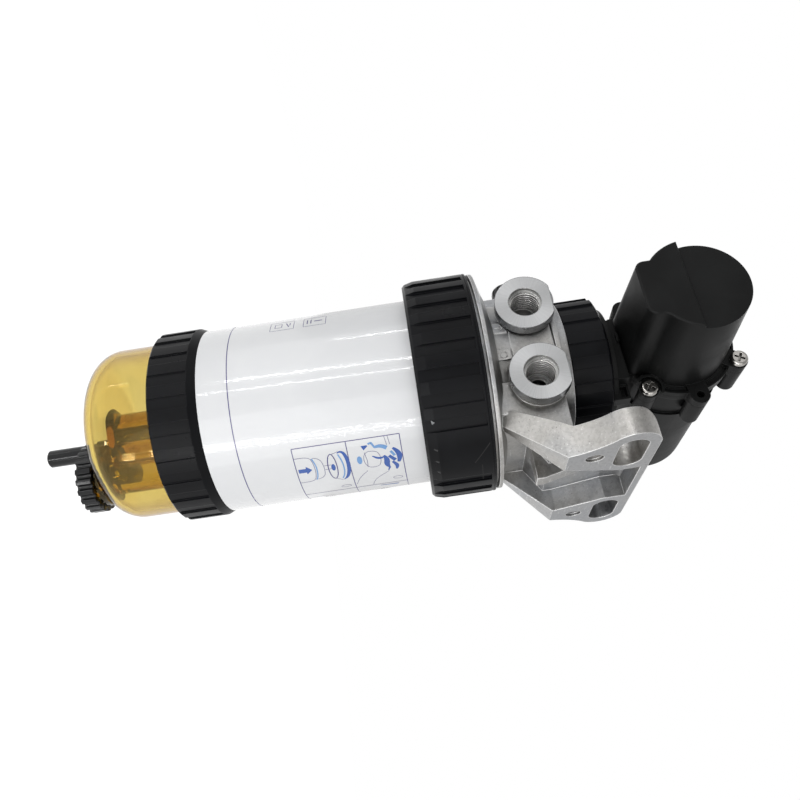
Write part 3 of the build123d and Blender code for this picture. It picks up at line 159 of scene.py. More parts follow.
def seen_rays(tree):
    """Two values: 1 for rays from the camera or through clear material, and 1 for rays from a
    reflection, else 0."""
    rays = add(tree, "LightPath").outputs
    direct = maths(tree, "MAXIMUM", rays["Is Camera Ray"], rays["Is Transmission Ray"])
    return direct, rays["Is Glossy Ray"]


floor_corners = np.array([[[-1, -1, 0], [-1, 1, 0]], [[1, -1, 0], [1, 1, 0]]], dtype=float)
floor_corners *= floor_half
floor_corners[..., 2] = cad_low.z - floor_drop
floor = grid_mesh("floor", [(floor_corners, False, False)])
floor_paint, tree, shader = material("floor_paint", (0.82, 0.82, 0.82), 0.9)
shader.inputs["Emission Color"].default_value = (1, 1, 1, 1)
glow = between(tree, maths(tree, "MAXIMUM", *seen_rays(tree)), 0.0, floor_glow)
tree.links.new(glow, shader.inputs["Emission Strength"])
floor.data.materials.append(floor_paint)

world = bpy.data.worlds.new("surround")
bpy.context.scene.world = world
world.use_nodes = True
sky = world.node_tree
sky.nodes["Background"].inputs["Color"].default_value = (1, 1, 1, 1)
facing_y = add(sky, "SeparateXYZ", add(sky, "TexCoord").outputs["Generated"]).outputs[1]
mirrored_level = between(sky, facing_y, front_level, back_level, dim_end, dim_start)
direct, mirrored = seen_rays(sky)
level = between(sky, mirrored, surround_level, mirrored_level)
sky.links.new(maths(sky, "MAXIMUM", level, direct), sky.nodes["Background"].inputs["Strength"])


def softbox(name, place, target, width, height, power, up=None):
    """Rectangular lamp at a place and turned to a target; its height runs along z, or along the
    given line."""
    data = bpy.data.lights.new(name, "AREA")
    data.shape = "RECTANGLE"
    data.size, data.size_y, data.energy = width, height, power
    lamp = bpy.data.objects.new(name, data)
    place = Vector(place)
    back = (place - Vector(target)).normalized()
    upright = Vector(up or (0, 0, 1))
    side = upright.cross(back).normalized()
    turned = Matrix((side, back.cross(side), back)).transposed().to_4x4()
    lamp.matrix_world = Matrix.Translation(place) @ turned
    lamp.visible_camera = False
    bpy.context.scene.collection.objects.link(lamp)


# The three large lamps, each with its place, the length of its sides and its power.
large_lamps = {
    "key": ((-0.75, -0.95, 0.15), 1.2, 1.9),
    "fill": ((1.00, -0.75, -0.10), 1.4, 5.2),
    "back": ((-0.60, 0.95, 0.50), 1.0, 2.0),
}
middle = (cad_low + cad_high) / 2
for name, (place, side_length, power) in large_lamps.items():
    softbox(name, place, middle, side_length, side_length, power)

# Strip lamps whose reflections are the thin bright lines along the can, on the bowl and
# along the spout. Each is given by the angle and height of its reflection at its two
# ends, its width and its power, and for the spout also by its radius and its place in x.
can_radius = 0.04225
strips = {
    "strip_front": ((-82.0, -0.020), (-85.0, -0.110), 0.022, 0.34),
    "strip_front_low": ((-76.0, -0.020), (-79.2, -0.118), 0.017, 0.22),
    "strip_top": ((-101.0, -0.020), (-102.0, -0.062), 0.014, 0.13),
    "strip_bowl": ((-96.0, -0.150), (-96.0, -0.215), 0.008, 0.10),
    "strip_spout": ((-60.0, -0.186), (-60.0, -0.205), 0.070, 0.40, 0.0040, 0.0068),
}
strip_distance = 0.9


def mirrored_place(angle, z, radius, centre_x):
    """Point seen from the camera in the gloss of an upright cylinder at that angle and height, and
    the spot where it shows: the view ray is turned round the normal there and followed for the
    distance of the strips."""
    outward = Vector((math.cos(angle), math.sin(angle), 0))
    surface = outward * radius + Vector((centre_x, 0, z))
    ray = (surface - camera_place).normalized()
    return surface + (ray - outward * 2 * ray.dot(outward)) * strip_distance, surface


def strip_lamp(name, upper, lower, width, power, radius=can_radius, centre_x=0.0):
    """Thin lamp between the two places whose reflections lie at the given angles and heights."""
    (upper_end, upper_spot), (lower_end, lower_spot) = [
        mirrored_place(math.radians(angle), z, radius, centre_x) for angle, z in (upper, lower)
    ]
    run = upper_end - lower_end
    target = (upper_spot + lower_spot) / 2
    softbox(name, (upper_end + lower_end) / 2, target, width, run.length, power, run)


for name, given in strips.items():
    strip_lamp(name, *given)

# Three rows of small lamps on the right, which show as short dashes low on the can and as
# glints on the bowl. The rows lean, by the given degrees for each metre of height.
dash_top, dash_pitch, dash_length, dash_count = -0.0325, -0.0118, -0.0046, 13
dash_angle, dash_row_pitch, dash_lean = -45.4, 1.7, 29.0
dash_width, dash_power = 0.018, 0.022
for row in (-1, 0, 1):
    for number in range(dash_count):
        start = dash_top + number * dash_pitch
        ends = [
            (dash_angle + row * dash_row_pitch + (z - dash_top) * dash_lean, z)
            for z in (start, start + dash_length)
        ]
        strip_lamp(f"dash_{row + 1}_{number}", *ends, dash_width, dash_power)

# Head and bracket: one sand-textured aluminium die casting, bolted up by its two slotted
# pads. Its skin is dull silver and smooth where the rings of the ports are turned. Its edges
# are painted brighter as highlight and wear, and its pockets and corners get painted shade.
port_centres = {"outlet": (-0.0143, 0.0212), "inlet": (0.0194, 0.0212)}
port_face = -0.0397
ring_radius = 0.0130
mouth_radius = 0.0070
ring_back = -0.0345
mask_margin = 0.0002
pad_plane = 0.0584
casting_edge = 0.0007
pocket_shade_reach = 0.006
sand_depth = 0.00012


def object_place(tree):
    """Object coordinates."""
    return add(tree, "TexCoord").outputs["Object"]


def noise(tree, place, scale, detail, distortion=0.0):
    """Noise value around 0.5; the scale is in grains per metre."""
    grains = add(tree, "TexNoise", place, Scale=scale, Detail=detail, Distortion=distortion)
    return grains.outputs["Fac"]


def blend(tree, factor, first, second):
    """Colour that goes from the first to the second as the factor goes from 0 to 1."""
    pair = [c if isinstance(c, bpy.types.NodeSocket) else (*c, 1.0) for c in (first, second)]
    return add(tree, "MixRGB", factor, *pair).outputs[0]


def relief(tree, height, depth, strength, under=None):
    """Bump from a height, on top of the normal under it."""
    bump = add(tree, "Bump", Strength=strength, Distance=depth, Height=height, Normal=under)
    return bump.outputs[0]


def soft_edges(tree, radius):
    """Normal that rounds the edges over a radius, and a value that is 1 on the edges, else 0."""
    rounded = add(tree, "Bevel", settings={"samples": 6}, Radius=radius).outputs[0]
    plain = add(tree, "NewGeometry").outputs["Normal"]
    facing = vector(tree, "DOT_PRODUCT", rounded, plain)
    return rounded, between(tree, facing.outputs["Value"], 1.0, 0.0, 0.86, 0.995)


# Painted shade: colours are multiplied by this value to darken corners and recesses.
def painted_cavity_shade(tree, reach, low):
    """Value that falls from 1 on open faces to a low value deep in corners and recesses."""
    settings = {"samples": 6, "only_local": True}
    shade = add(tree, "AmbientOcclusion", settings=settings, Distance=reach)
    return between(tree, shade.outputs["AO"], low, 1.0, 0.25, 0.95)


def dimmed(tree, colour, value):
    """Colour times a value."""
    return add(tree, "VectorMath", colour, Scale=value, settings={"operation": "SCALE"}).outputs[0]


def away(tree, across, along):
    """Distance from the origin to the point with these two coordinates."""
    squares = [maths(tree, "POWER", value, 2.0) for value in (across, along)]
    return maths(tree, "SQRT", maths(tree, "ADD", *squares))


cast, tree, shader = material("head_casting", (0.6, 0.6, 0.6), 0.45, 1.0)
place = object_place(tree)
x, y, z = add(tree, "SeparateXYZ", place).outputs
rounded, edge = soft_edges(tree, casting_edge)
near = []
for centre_x, centre_z in port_centres.values():
    across = maths(tree, "SUBTRACT", x, centre_x)
    along = maths(tree, "SUBTRACT", z, centre_z)
    near.append(away(tree, across, along))
port_distance = maths(tree, "MINIMUM", *near)
in_ring = maths(tree, "LESS_THAN", port_distance, ring_radius + mask_margin)
on_ring = maths(tree, "MULTIPLY", in_ring, maths(tree, "LESS_THAN", y, ring_back))
on_pad = maths(tree, "GREATER_THAN", x, pad_plane)
sand = noise(tree, place, 900, 3)
patches = noise(tree, place, 110, 5, 0.6)
pits = between(tree, noise(tree, place, 1500, 2), 0.0, 1.0, 0.26, 0.32)
warmth = between(tree, noise(tree, place, 32, 2), 0.0, 1.0, 0.38, 0.62)
dark_skin = blend(tree, warmth, (0.330, 0.338, 0.352), (0.372, 0.360, 0.340))
light_skin = blend(tree, warmth, (0.480, 0.490, 0.505), (0.530, 0.520, 0.500))
skin = blend(tree, between(tree, patches, 0.0, 1.0, 0.30, 0.75), dark_skin, light_skin)
skin = blend(tree, between(tree, sand, 0.0, 0.35, 0.35, 0.75), skin, (0.56, 0.55, 0.54))
skin = blend(tree, pits, (0.20, 0.19, 0.18), skin)
skin = blend(tree, maths(tree, "MULTIPLY", on_pad, 0.6), skin, (0.43, 0.44, 0.46))
smudges = between(tree, noise(tree, place, 700, 4, 0.4), 1.0, 0.84, 0.46, 0.68)
skin = dimmed(tree, skin, smudges)
drawn_out = add(tree, "Mapping", place, Rotation=(0.3, 0.9, 0.4), Scale=(1.0, 0.12, 1.0))
scars = between(tree, noise(tree, drawn_out.outputs[0], 1300, 2, 0.3), 0.0, 1.0, 0.655, 0.70)
skin = blend(tree, maths(tree, "MULTIPLY", scars, 0.4), skin, (0.80, 0.80, 0.79))
# Painted highlight and wear: the colour turns light grey along the edges.
skin = blend(tree, maths(tree, "MULTIPLY", edge, 0.9), skin, (0.92, 0.92, 0.91))
turned = blend(tree, noise(tree, place, 260, 2), (0.26, 0.265, 0.27), (0.34, 0.345, 0.35))
in_mouth = maths(tree, "LESS_THAN", port_distance, mouth_radius + mask_margin / 2)
turned = blend(tree, in_mouth, turned, (0.50, 0.50, 0.49))
# Painted shade: the colour is darkened in pockets and corners.
skin = dimmed(tree, blend(tree, on_ring, skin, turned), painted_cavity_shade(tree, pocket_shade_reach, 0.66))
tree.links.new(skin, shader.inputs["Base Color"])
rough = between(tree, patches, 0.30, 0.50, 0.3, 0.7)
rough = maths(tree, "SUBTRACT", rough, maths(tree, "MULTIPLY", on_ring, 0.14))
tree.links.new(rough, shader.inputs["Roughness"])
grain_height = maths(tree, "ADD", sand, maths(tree, "MULTIPLY", pits, 0.8))
grain_height = maths(tree, "MULTIPLY", grain_height, maths(tree, "SUBTRACT", 1.0, on_ring))
tree.links.new(relief(tree, grain_height, sand_depth, 0.55, rounded), shader.inputs["Normal"])

# Port faces: the two rings are faced off on a lathe, so fine turning marks run round
# each hole and their shine fans out from it. The fan is partly gloss along the marks and
# partly painted highlight, lighter streaks in the colour. They are thin skins on the casting.
port_flat = 0.0113
flat_start = 0.2
skin_gap = 0.00002
skin_inset = 0.0002
skin_rows, skin_columns = 5, 96
turning_feed = 0.00032
turning_depth = 0.000006


def turned_face(centre):
    """Flat ring round a port: its radii go from the mouth to the rim, which is cut off straight
    on the pump's side."""
    angle = np.linspace(0, 2 * np.pi, skin_columns, endpoint=False)
    rim = np.full(skin_columns, ring_radius - skin_inset)
    high = np.sin(angle) > flat_start
    rim[high] = np.minimum(rim[high], (port_flat - skin_inset) / np.sin(angle[high]))
    share = np.linspace(1, 0, skin_rows)[:, None]
    radius = (mouth_radius + skin_inset) * (1 - share) + rim * share
    points = np.empty((skin_rows, skin_columns, 3))
    points[..., 0] = centre[0] + radius * np.cos(angle)
    points[..., 1] = port_face - skin_gap
    points[..., 2] = centre[1] + radius * np.sin(angle)
    return points, False, True


for label, centre in port_centres.items():
    turned_ring, tree, shader = material(f"turned_face_{label}", (0.60, 0.61, 0.62), 0.30, 1.0)
    shader.inputs["Anisotropic"].default_value = 0.75
    place = object_place(tree)
    out = vector(tree, "SUBTRACT", place, (centre[0], 0, centre[1])).outputs[0]
    tangent = vector(tree, "CROSS_PRODUCT", out, (0, 1, 0)).outputs[0]
    tree.links.new(vector(tree, "NORMALIZE", tangent).outputs[0], shader.inputs["Tangent"])
    x, y, z = add(tree, "SeparateXYZ", out).outputs
    angle = maths(tree, "ARCTAN2", z, x)
    rays = noise(tree, add(tree, "CombineXYZ", angle, 0.0, 0.0).outputs[0], 26, 2)
    distance = vector(tree, "LENGTH", out).outputs["Value"]
    marks = maths(tree, "SINE", maths(tree, "MULTIPLY", distance, 2 * math.pi / turning_feed))
    # Painted highlight: the colour is lighter in streaks that fan out round the hole.
    tone = between(tree, rays, 0.0, 1.0, 0.25, 0.75)
    silver = blend(tree, tone, (0.48, 0.485, 0.49), (0.62, 0.625, 0.63))
    tree.links.new(silver, shader.inputs["Base Color"])
    tree.links.new(between(tree, rays, 0.34, 0.50), shader.inputs["Roughness"])
    tree.links.new(relief(tree, marks, turning_depth, 0.6), shader.inputs["Normal"])
    face = grid_mesh(f"port_face_{label}", [turned_face(centre)])
    face.data.materials.append(turned_ring)
    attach(face, "head")

# Port threads: M14 x 1.5 cut in the ports, bright where the tap has run, with painted shade
# deep in the hole. Each is one helical ridge on the wall of its hole.
thread_root = 0.00630
thread_crest = 0.00575
thread_pitch = 0.0015
thread_start = -0.0372
thread_end = -0.0255
thread_sink = 0.0001
thread_points_per_turn = 40
thread_shade_reach = 0.009
ridge_section = (-0.42, -0.08, 0.08, 0.42)


def thread_ridge(centre):
    """Ridge of a four-sided section that follows a helix into the hole: its height is the root
    radius less a share of the depth, and that share rises from 0 and falls to 0 at the ends."""
    turns = (thread_end - thread_start) / thread_pitch
    angle = np.linspace(0, 2 * np.pi * turns, int(thread_points_per_turn * turns))
    share = np.clip(np.minimum(angle, angle[-1] - angle) / np.pi, 0, 1)
    middle_y = thread_start + thread_pitch * angle / (2 * np.pi)
    crest = thread_root - (thread_root - thread_crest) * share
    root = np.full_like(crest, thread_root + thread_sink)
    radius = np.stack([root, crest, crest, root], axis=1)
    shift = np.array(ridge_section) * thread_pitch
    points = np.empty((*radius.shape, 3))
    points[..., 0] = centre[0] + radius * np.cos(angle)[:, None]
    points[..., 1] = middle_y[:, None] + shift
    points[..., 2] = centre[1] + radius * np.sin(angle)[:, None]
    return points, False, True


cut_thread, tree, shader = material("cut_thread", (0.66, 0.65, 0.63), 0.25, 1.0)
place = object_place(tree)
tone = noise(tree, place, 160, 1)
tap_run = blend(tree, tone, (0.48, 0.475, 0.465), (0.66, 0.65, 0.635))
# Painted shade: the colour of the thread is darkened deep in the hole.
thread_with_painted_shade = dimmed(tree, tap_run, painted_cavity_shade(tree, thread_shade_reach, 0.22))
tree.links.new(thread_with_painted_shade, shader.inputs["Base Color"])
tree.links.new(between(tree, tone, 0.14, 0.26), shader.inputs["Roughness"])
for label, centre in port_centres.items():
    thread = grid_mesh(f"port_thread_{label}", [thread_ridge(centre)])
    thread.data.materials.append(cut_thread)
    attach(thread, "head")

# Casting marks: a small raised ring and an arrow on the two pads between the ports and
# the flange, which show the way of the flow. They are cast in one with the head.
mark_face = -0.0340
mark_height = 0.00040
mark_width = 0.00062
ring_mark_centre = (6.4, 8.5)
ring_mark_radius = 1.5
bead_across = (-0.5, -0.32, 0.0, 0.32, 0.5)
bead_rise = (-0.3, 0.72, 1.0, 0.72, -0.3)
arrow_runs = ([(-6.7, 6.9), (-6.7, 10.2)], [(-8.0, 9.0), (-6.7, 10.3), (-5.4, 9.0)])


def heading(path, closed):
    """Direction of a path at each of its points, from the point before to the one after."""
    if closed:
        return np.roll(path, -1, axis=0) - np.roll(path, 1, axis=0)
    return np.gradient(path, axis=0)


def bead(path, outward, width, height, closed=False):
    """Raised line along a path on a surface that faces outward. Its five-point section is as wide
    as given, rises by the height in its middle and sinks a little at its two sides."""
    outward = np.broadcast_to(outward, path.shape)[:, None, :]
    side = np.cross(outward, heading(path, closed)[:, None, :])
    side /= np.linalg.norm(side, axis=2, keepdims=True)
    across = np.array(bead_across)[:, None] * width
    rise = np.array(bead_rise)[:, None] * height
    return path[:, None, :] + side * across + outward * rise, closed, True


def on_pad_face(points):
    """Points of the pads' front face from places across and up it in millimetres."""
    flat = np.array(points, dtype=float) / 1000
    return np.stack([flat[:, 0], np.full(len(flat), mark_face), flat[:, 1]], axis=1)


def ellipse(across, up, half_width, half_height, count=20):
    """Corners of an ellipse, given by its middle and its half axes."""
    angle = np.linspace(0, 2 * np.pi, count, endpoint=False)
    places = [across + half_width * np.cos(angle), up + half_height * np.sin(angle)]
    return np.stack(places, axis=1)


front = (0.0, -1.0, 0.0)
ring_mark = on_pad_face(ellipse(*ring_mark_centre, ring_mark_radius, ring_mark_radius, 24))
raised = [bead(ring_mark, front, mark_width, mark_height, closed=True)]
raised += [bead(on_pad_face(run), front, mark_width, mark_height) for run in arrow_runs]
flow_marks = grid_mesh("flow_marks", raised)
flow_marks.data.materials.append(cast)
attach(flow_marks, "head")

# Filter can: drawn steel sheet, held to the head by the lock collar. Its thick gloss white
# enamel flows a little, which makes the reflections waver.
enamel_wave_depth = 0.00012
enamel, tree, shader = material("can_paint", (0.80, 0.81, 0.825), 0.22)
shader.inputs["Coat Weight"].default_value = 1.0
shader.inputs["Coat Roughness"].default_value = 0.03
place = object_place(tree)
flow = noise(tree, place, 130, 2)
white = blend(tree, flow, (0.785, 0.795, 0.815), (0.815, 0.825, 0.835))
tree.links.new(white, shader.inputs["Base Color"])
coat_normal = relief(tree, noise(tree, place, 330, 2), enamel_wave_depth, 0.5)
tree.links.new(coat_normal, shader.inputs["Coat Normal"])

# Print on the can: screen printed in blue and violet ink. A line runs round near the
# bottom, a panel of pictures shows how the element is changed, and two small boxes are
# further round. All are thin skins that lie on the enamel.
ink_gap = 0.00004
line_width = 0.36
hairline = 0.2
foot_line_height = -107.7
foot_line_points = 144
corner_steps = 6
spot_points = 13
spot_tip = 0.02
mottle_share = 0.15


def on_can(angle, height, radius):
    """Points of an upright cylinder from angles in degrees and heights in millimetres."""
    around = np.radians(angle)
    return np.stack([radius * np.cos(around), radius * np.sin(around), height / 1000], axis=-1)


def degree_arc(radius):
    """Millimetres of arc in one degree: the radius in metres, times 1000, times pi over 180."""
    return 1000 * radius * math.pi / 180


def cut(values, steps):
    """Values along a path after each of its runs is cut into steps."""
    runs = len(values) - 1
    return np.interp(np.linspace(0, runs, runs * steps + 1), np.arange(runs + 1), values)


def rounded_path(values, closed=False):
    """Values along a path that is cut into steps and averaged over a window of one run, which
    rounds its corners; the two ends of an open path stay where they are."""
    steps = corner_steps
    fine = cut(np.concatenate([values, values[:1]]) if closed else values, steps)
    if closed:
        before, after = fine[-1 - steps:-1], fine[1:1 + steps]
    else:
        before = 2 * fine[0] - fine[steps:0:-1]
        after = 2 * fine[-1] - fine[-2:-2 - steps:-1]
    window = np.ones(steps + 1) / (steps + 1)
    averaged = np.convolve(np.concatenate([before, fine, after]), window, mode="same")
    return averaged[steps:-steps]


def curved(path, closed=False):
    """Path of (angle, height) points with its corners rounded."""
    columns = np.array(path, dtype=float).T
    rounded = np.stack([rounded_path(values, closed) for values in columns], axis=1)
    return rounded[:-1] if closed else rounded


def ink_line(path, width=line_width, closed=False, steps=8, radius=can_radius):
    """Band of ink along a path of (angle, height) points: each run is cut into steps, and the band
    is as wide as given, or as the list of widths says, across the path on the unrolled surface."""
    path = np.array(path, dtype=float)
    width = np.broadcast_to(np.asarray(width, dtype=float), (len(path),))
    if closed:
        path = np.vstack([path, path[:1]])
        width = np.append(width, width[0])
    arc = degree_arc(radius)
    flat = np.stack([cut(path[:, 0] * arc, steps), cut(path[:, 1], steps)], axis=1)
    half = cut(width, steps) / 2
    if closed:
        flat, half = flat[:-1], half[:-1]
    ahead = heading(flat, closed)
    ahead /= np.maximum(np.linalg.norm(ahead, axis=1, keepdims=True), 1e-9)
    side = np.stack([-ahead[:, 1], ahead[:, 0]], axis=1)
    share = np.linspace(1, -1, 3)[None, :, None]
    flat = flat[:, None, :] + side[:, None, :] * half[:, None, None] * share
    return on_can(flat[..., 0] / arc, flat[..., 1], radius + ink_gap), closed, False


def box(angles, heights, width):
    """Closed rectangular line between two angles and two heights."""
    (left, right), (low, high) = angles, heights
    return ink_line([(left, low), (right, low), (right, high), (left, high)], width, closed=True)


def spot(angle, height, half_angle, half_height):
    """Filled ellipse: a band down its middle that is as wide as the ellipse at each step."""
    around = np.linspace(spot_tip, np.pi - spot_tip, spot_points)
    path = np.stack([np.full(spot_points, angle), height - half_height * np.cos(around)], axis=1)
    return ink_line(path, 2 * half_angle * degree_arc(can_radius) * np.sin(around), steps=2)


def brushed(path, widths):
    """Band of ink with rounded corners, whose width changes softly along it."""
    return ink_line(curved(path), rounded_path(np.array(widths, dtype=float)), steps=1)


frame_angles = (-40.2, 1.8, 43.8)
frame_heights = (-85.4, -62.6, -39.9)
small_box_angles = (-131, -119)
all_round = np.linspace(0, 360, foot_line_points, endpoint=False)
foot_line = np.stack([all_round, np.full(foot_line_points, foot_line_height)], axis=1)
violet_lines = [ink_line(foot_line, 0.42, closed=True, steps=1)]
for angle in frame_angles:
    violet_lines.append(ink_line([(angle, frame_heights[0]), (angle, frame_heights[-1])]))
for height in frame_heights:
    edge = [(frame_angles[0], height), (frame_angles[-1], height)]
    violet_lines.append(ink_line(edge, steps=40))
for heights in ((-89.7, -79.2), (-74.9, -65.0)):
    violet_lines.append(box(small_box_angles, heights, 0.24))
violet_lines += [
    # In the two small boxes: a block below two lines, and an upright bar above two lines
    box((-127.5, -122.5), (-87.6, -84.6), 0.3),
    ink_line([(-128, -82.8), (-122, -81.4)], 0.5),
    ink_line([(-128, -81.0), (-124, -81.0)], 0.4),
    ink_line([(-128, -73.2), (-122, -73.2)], 0.5),
    ink_line([(-128, -71.6), (-122, -71.6)], 0.5),
    ink_line([(-125, -70.2), (-125, -66.6)], 0.8),
    # First picture: the element, pushed up towards its head
    ink_line(curved([
        (-33.6, -85.2), (-33.6, -79.0), (-30, -77.9), (-24, -77.4),
        (-18, -77.9), (-14.2, -79.0), (-14.2, -85.2),
    ]), 0.22),
    ink_line(curved([
        (-32.5, -77.6), (-31.5, -75.0), (-28, -73.7),
        (-20, -73.5), (-16.5, -74.9), (-15.5, -77.4),
    ]), hairline),
    ink_line([(-25.8, -73.4), (-25.8, -70.4)], hairline),
    ink_line([(-22.8, -73.4), (-22.8, -70.4)], hairline),
    ink_line(ellipse(-23.6, -70.0, 9.8, 1.9), 0.42, closed=True, steps=2),
    ink_line([(-33.2, -69.6), (-34.4, -66.6)], hairline),
    ink_line([(-13.8, -69.8), (-11.4, -67.0)], hairline),
    ink_line(ellipse(-3.2, -66.6, 1.4, 2.2), hairline, closed=True, steps=2),
    # Second picture: the can turned in its collar below the pump
    ink_line(curved([
        (-31.2, -56.6), (-31.6, -51.4), (-29.0, -49.3),
        (-22.0, -49.2), (-18.6, -51.0), (-19.6, -56.2),
    ], closed=True), hairline, closed=True, steps=1),
    ink_line([(-31.0, -55.6), (-25.0, -55.0), (-19.8, -55.3)], hairline),
    ink_line([(-40.0, -46.4), (-34.2, -45.8)], hairline),
    ink_line([(-40.0, -45.0), (-34.2, -44.5)], hairline),
    ink_line(curved([(-16.6, -55.7), (-11.0, -59.9), (-3.1, -62.0)]), hairline),
    ink_line(curved([(-13.6, -46.8), (-7.0, -53.5), (0.8, -55.0)]), hairline),
    ink_line(ellipse(-5.0, -43.6, 1.6, 2.0), hairline, closed=True, steps=2),
    # Second row of the panel, on the side away from the camera
    ink_line(curved([(10, -84.0), (10, -72.0), (20, -70.0), (30, -72.0), (30, -84.0)]), 0.22),
    ink_line(ellipse(24, -51, 9, 5), 0.4, closed=True, steps=2),
]
pointer_widths = [2.2, 2.2, 4.4, 0.05]
blue_fields = [
    ink_line([(-24.1, -84.6), (-24.1, -81.3), (-24.1, -81.2), (-24.1, -78.8)], pointer_widths),
    brushed([
        (-33.4, -67.0), (-34.6, -65.4), (-31.6, -63.6),
        (-23, -62.9), (-14, -64.4), (-11.6, -66.6),
    ], [0.3, 1.0, 1.5, 1.7, 1.5, 0.4]),
    spot(-23.6, -69.7, 2.6, 0.9),
    brushed([(-34.2, -56.2), (-35.4, -54.0)], [2.4, 0.6]),
    brushed(
        [(-27.0, -47.8), (-24.0, -46.6), (-20.0, -47.2), (-17.0, -46.2)], [1.0, 2.4, 2.6, 0.8]
    ),
    brushed(
        [(-31.6, -43.6), (-28.6, -41.6), (-24.6, -41.0), (-20.6, -42.0)], [1.0, 2.2, 2.4, 1.2]
    ),
    brushed([(-26.4, -45.6), (-22.4, -43.2)], [1.4, 1.8]),
    brushed([(-17.4, -46.0), (-14.2, -47.0)], [0.9, 0.5]),
    brushed([(-21.5, -44.6), (-18.0, -42.6), (-14.5, -43.4)], [1.0, 2.0, 0.8]),
    brushed([(-27.8, -52.6), (-25.4, -50.4), (-25.8, -48.2)], [0.5, 1.2, 0.9]),
    brushed([(4.4, -52.0), (5.2, -44.0)], [0.6, 1.2]),
    ink_line([(22, -80.5), (22, -76.0), (22, -75.9), (22, -73.4)], pointer_widths),
    spot(24, -51, 5.0, 2.4),
]
pale_fields = [
    ink_line(curved([
        (-32.2, -78.0), (-28, -77.0), (-24, -76.7), (-18, -77.1), (-15.2, -78.1),
    ]), 0.55),
    ink_line(curved([
        (-32.6, -66.8), (-28, -65.6), (-22, -65.2), (-16, -65.8), (-13, -67.0),
    ]), 0.6),
    brushed([(-33.6, -51.2), (-34.4, -48.6), (-32.2, -46.0)], [1.0, 1.8, 2.0]),
    spot(-26.0, -58.2, 3.0, 1.1),
    ink_line([(-36.4, -53.6), (-37.0, -52.2), (-33.6, -51.0)], 0.9),
    ink_line([(-29.6, -44.6), (-26.0, -43.2)], 1.2),
]
for label, grids, colour in (
    ("print_violet", violet_lines, (0.045, 0.035, 0.21)),
    ("print_blue", blue_fields, (0.004, 0.085, 0.42)),
    ("print_pale", pale_fields, (0.16, 0.36, 0.70)),
):
    ink, tree, shader = material(label, colour, 0.25)
    shader.inputs["Coat Weight"].default_value = 0.6
    shader.inputs["Coat Roughness"].default_value = 0.05
    lighter = tuple(mottle_share * 0.5 + (1 - mottle_share) * c for c in colour)
    mottle = noise(tree, object_place(tree), 2200, 2)
    tree.links.new(blend(tree, mottle, colour, lighter), shader.inputs["Base Color"])
    printed = grid_mesh(label, grids)
    printed.data.materials.append(ink)
    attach(printed, "head")

# Plastics and rubber: the collars, ring nut and inner mouldings are satin black nylon with
# a fine grain and a painted sheen that makes the edges slightly lighter. The pump is a duller
# charcoal nylon, the drain knob and the bleed screw are glossier, and the seals are black rubber.
plastic_edge = 0.0005


def moulded(name, colour, light, roughness, grain, depth, ior=1.27):
    """Plastic with a fine grain, slow changes of gloss and rounded edges lightened by painted
    sheen.
    """
    new, tree, shader = material(name, colour, roughness)
    shader.inputs["IOR"].default_value = ior
    place = object_place(tree)
    rounded, edge = soft_edges(tree, plastic_edge)
    slow = noise(tree, place, 45, 3, 0.5)
    fine = noise(tree, place, grain, 3)
    # Painted sheen: the edges are blended towards the lighter colour.
    edge_sheen = maths(tree, "MULTIPLY", edge, 0.6)
    tone = maths(tree, "MAXIMUM", edge_sheen, between(tree, slow, 0.0, 0.35, 0.4, 0.75))
    tree.links.new(blend(tree, tone, colour, light), shader.inputs["Base Color"])
    rough = between(tree, slow, roughness - 0.07, roughness + 0.09, 0.3, 0.7)
    tree.links.new(rough, shader.inputs["Roughness"])
    tree.links.new(relief(tree, fine, depth, 0.5, rounded), shader.inputs["Normal"])
    return new


black_plastic = moulded(
    "black_plastic", (0.0035, 0.0037, 0.0046), (0.010, 0.011, 0.014), 0.33, 1500, 0.00003, 1.24
)
pump_plastic = moulded(
    "pump_plastic", (0.0060, 0.0062, 0.0062), (0.019, 0.020, 0.020), 0.44, 2600, 0.00005, 1.24
)
knob_plastic = moulded(
    "knob_plastic", (0.0035, 0.0037, 0.0042), (0.009, 0.010, 0.012), 0.15, 1500, 0.00001, 1.38
)
rubber = moulded(
    "rubber", (0.010, 0.010, 0.010), (0.018, 0.018, 0.018), 0.62, 1800, 0.00003
)

# Marks on the lock collar: two lines of engraving, drawn as flat lines of painted shade, three
# short ribs on its sloping foot, and one small pale arrow that shows where the collar lets go.
# They turn with the collar.
collar_radius = 0.0504
tick_angles = (-33.6, -26.6, -19.5)
tick_lean = 1.2
tick_radii = (0.0483, 0.0503)
tick_heights = (-0.0296, -0.0251)
tick_slope = -0.45
tick_width = 0.0011
tick_rise = 0.0003
tick_points = 5
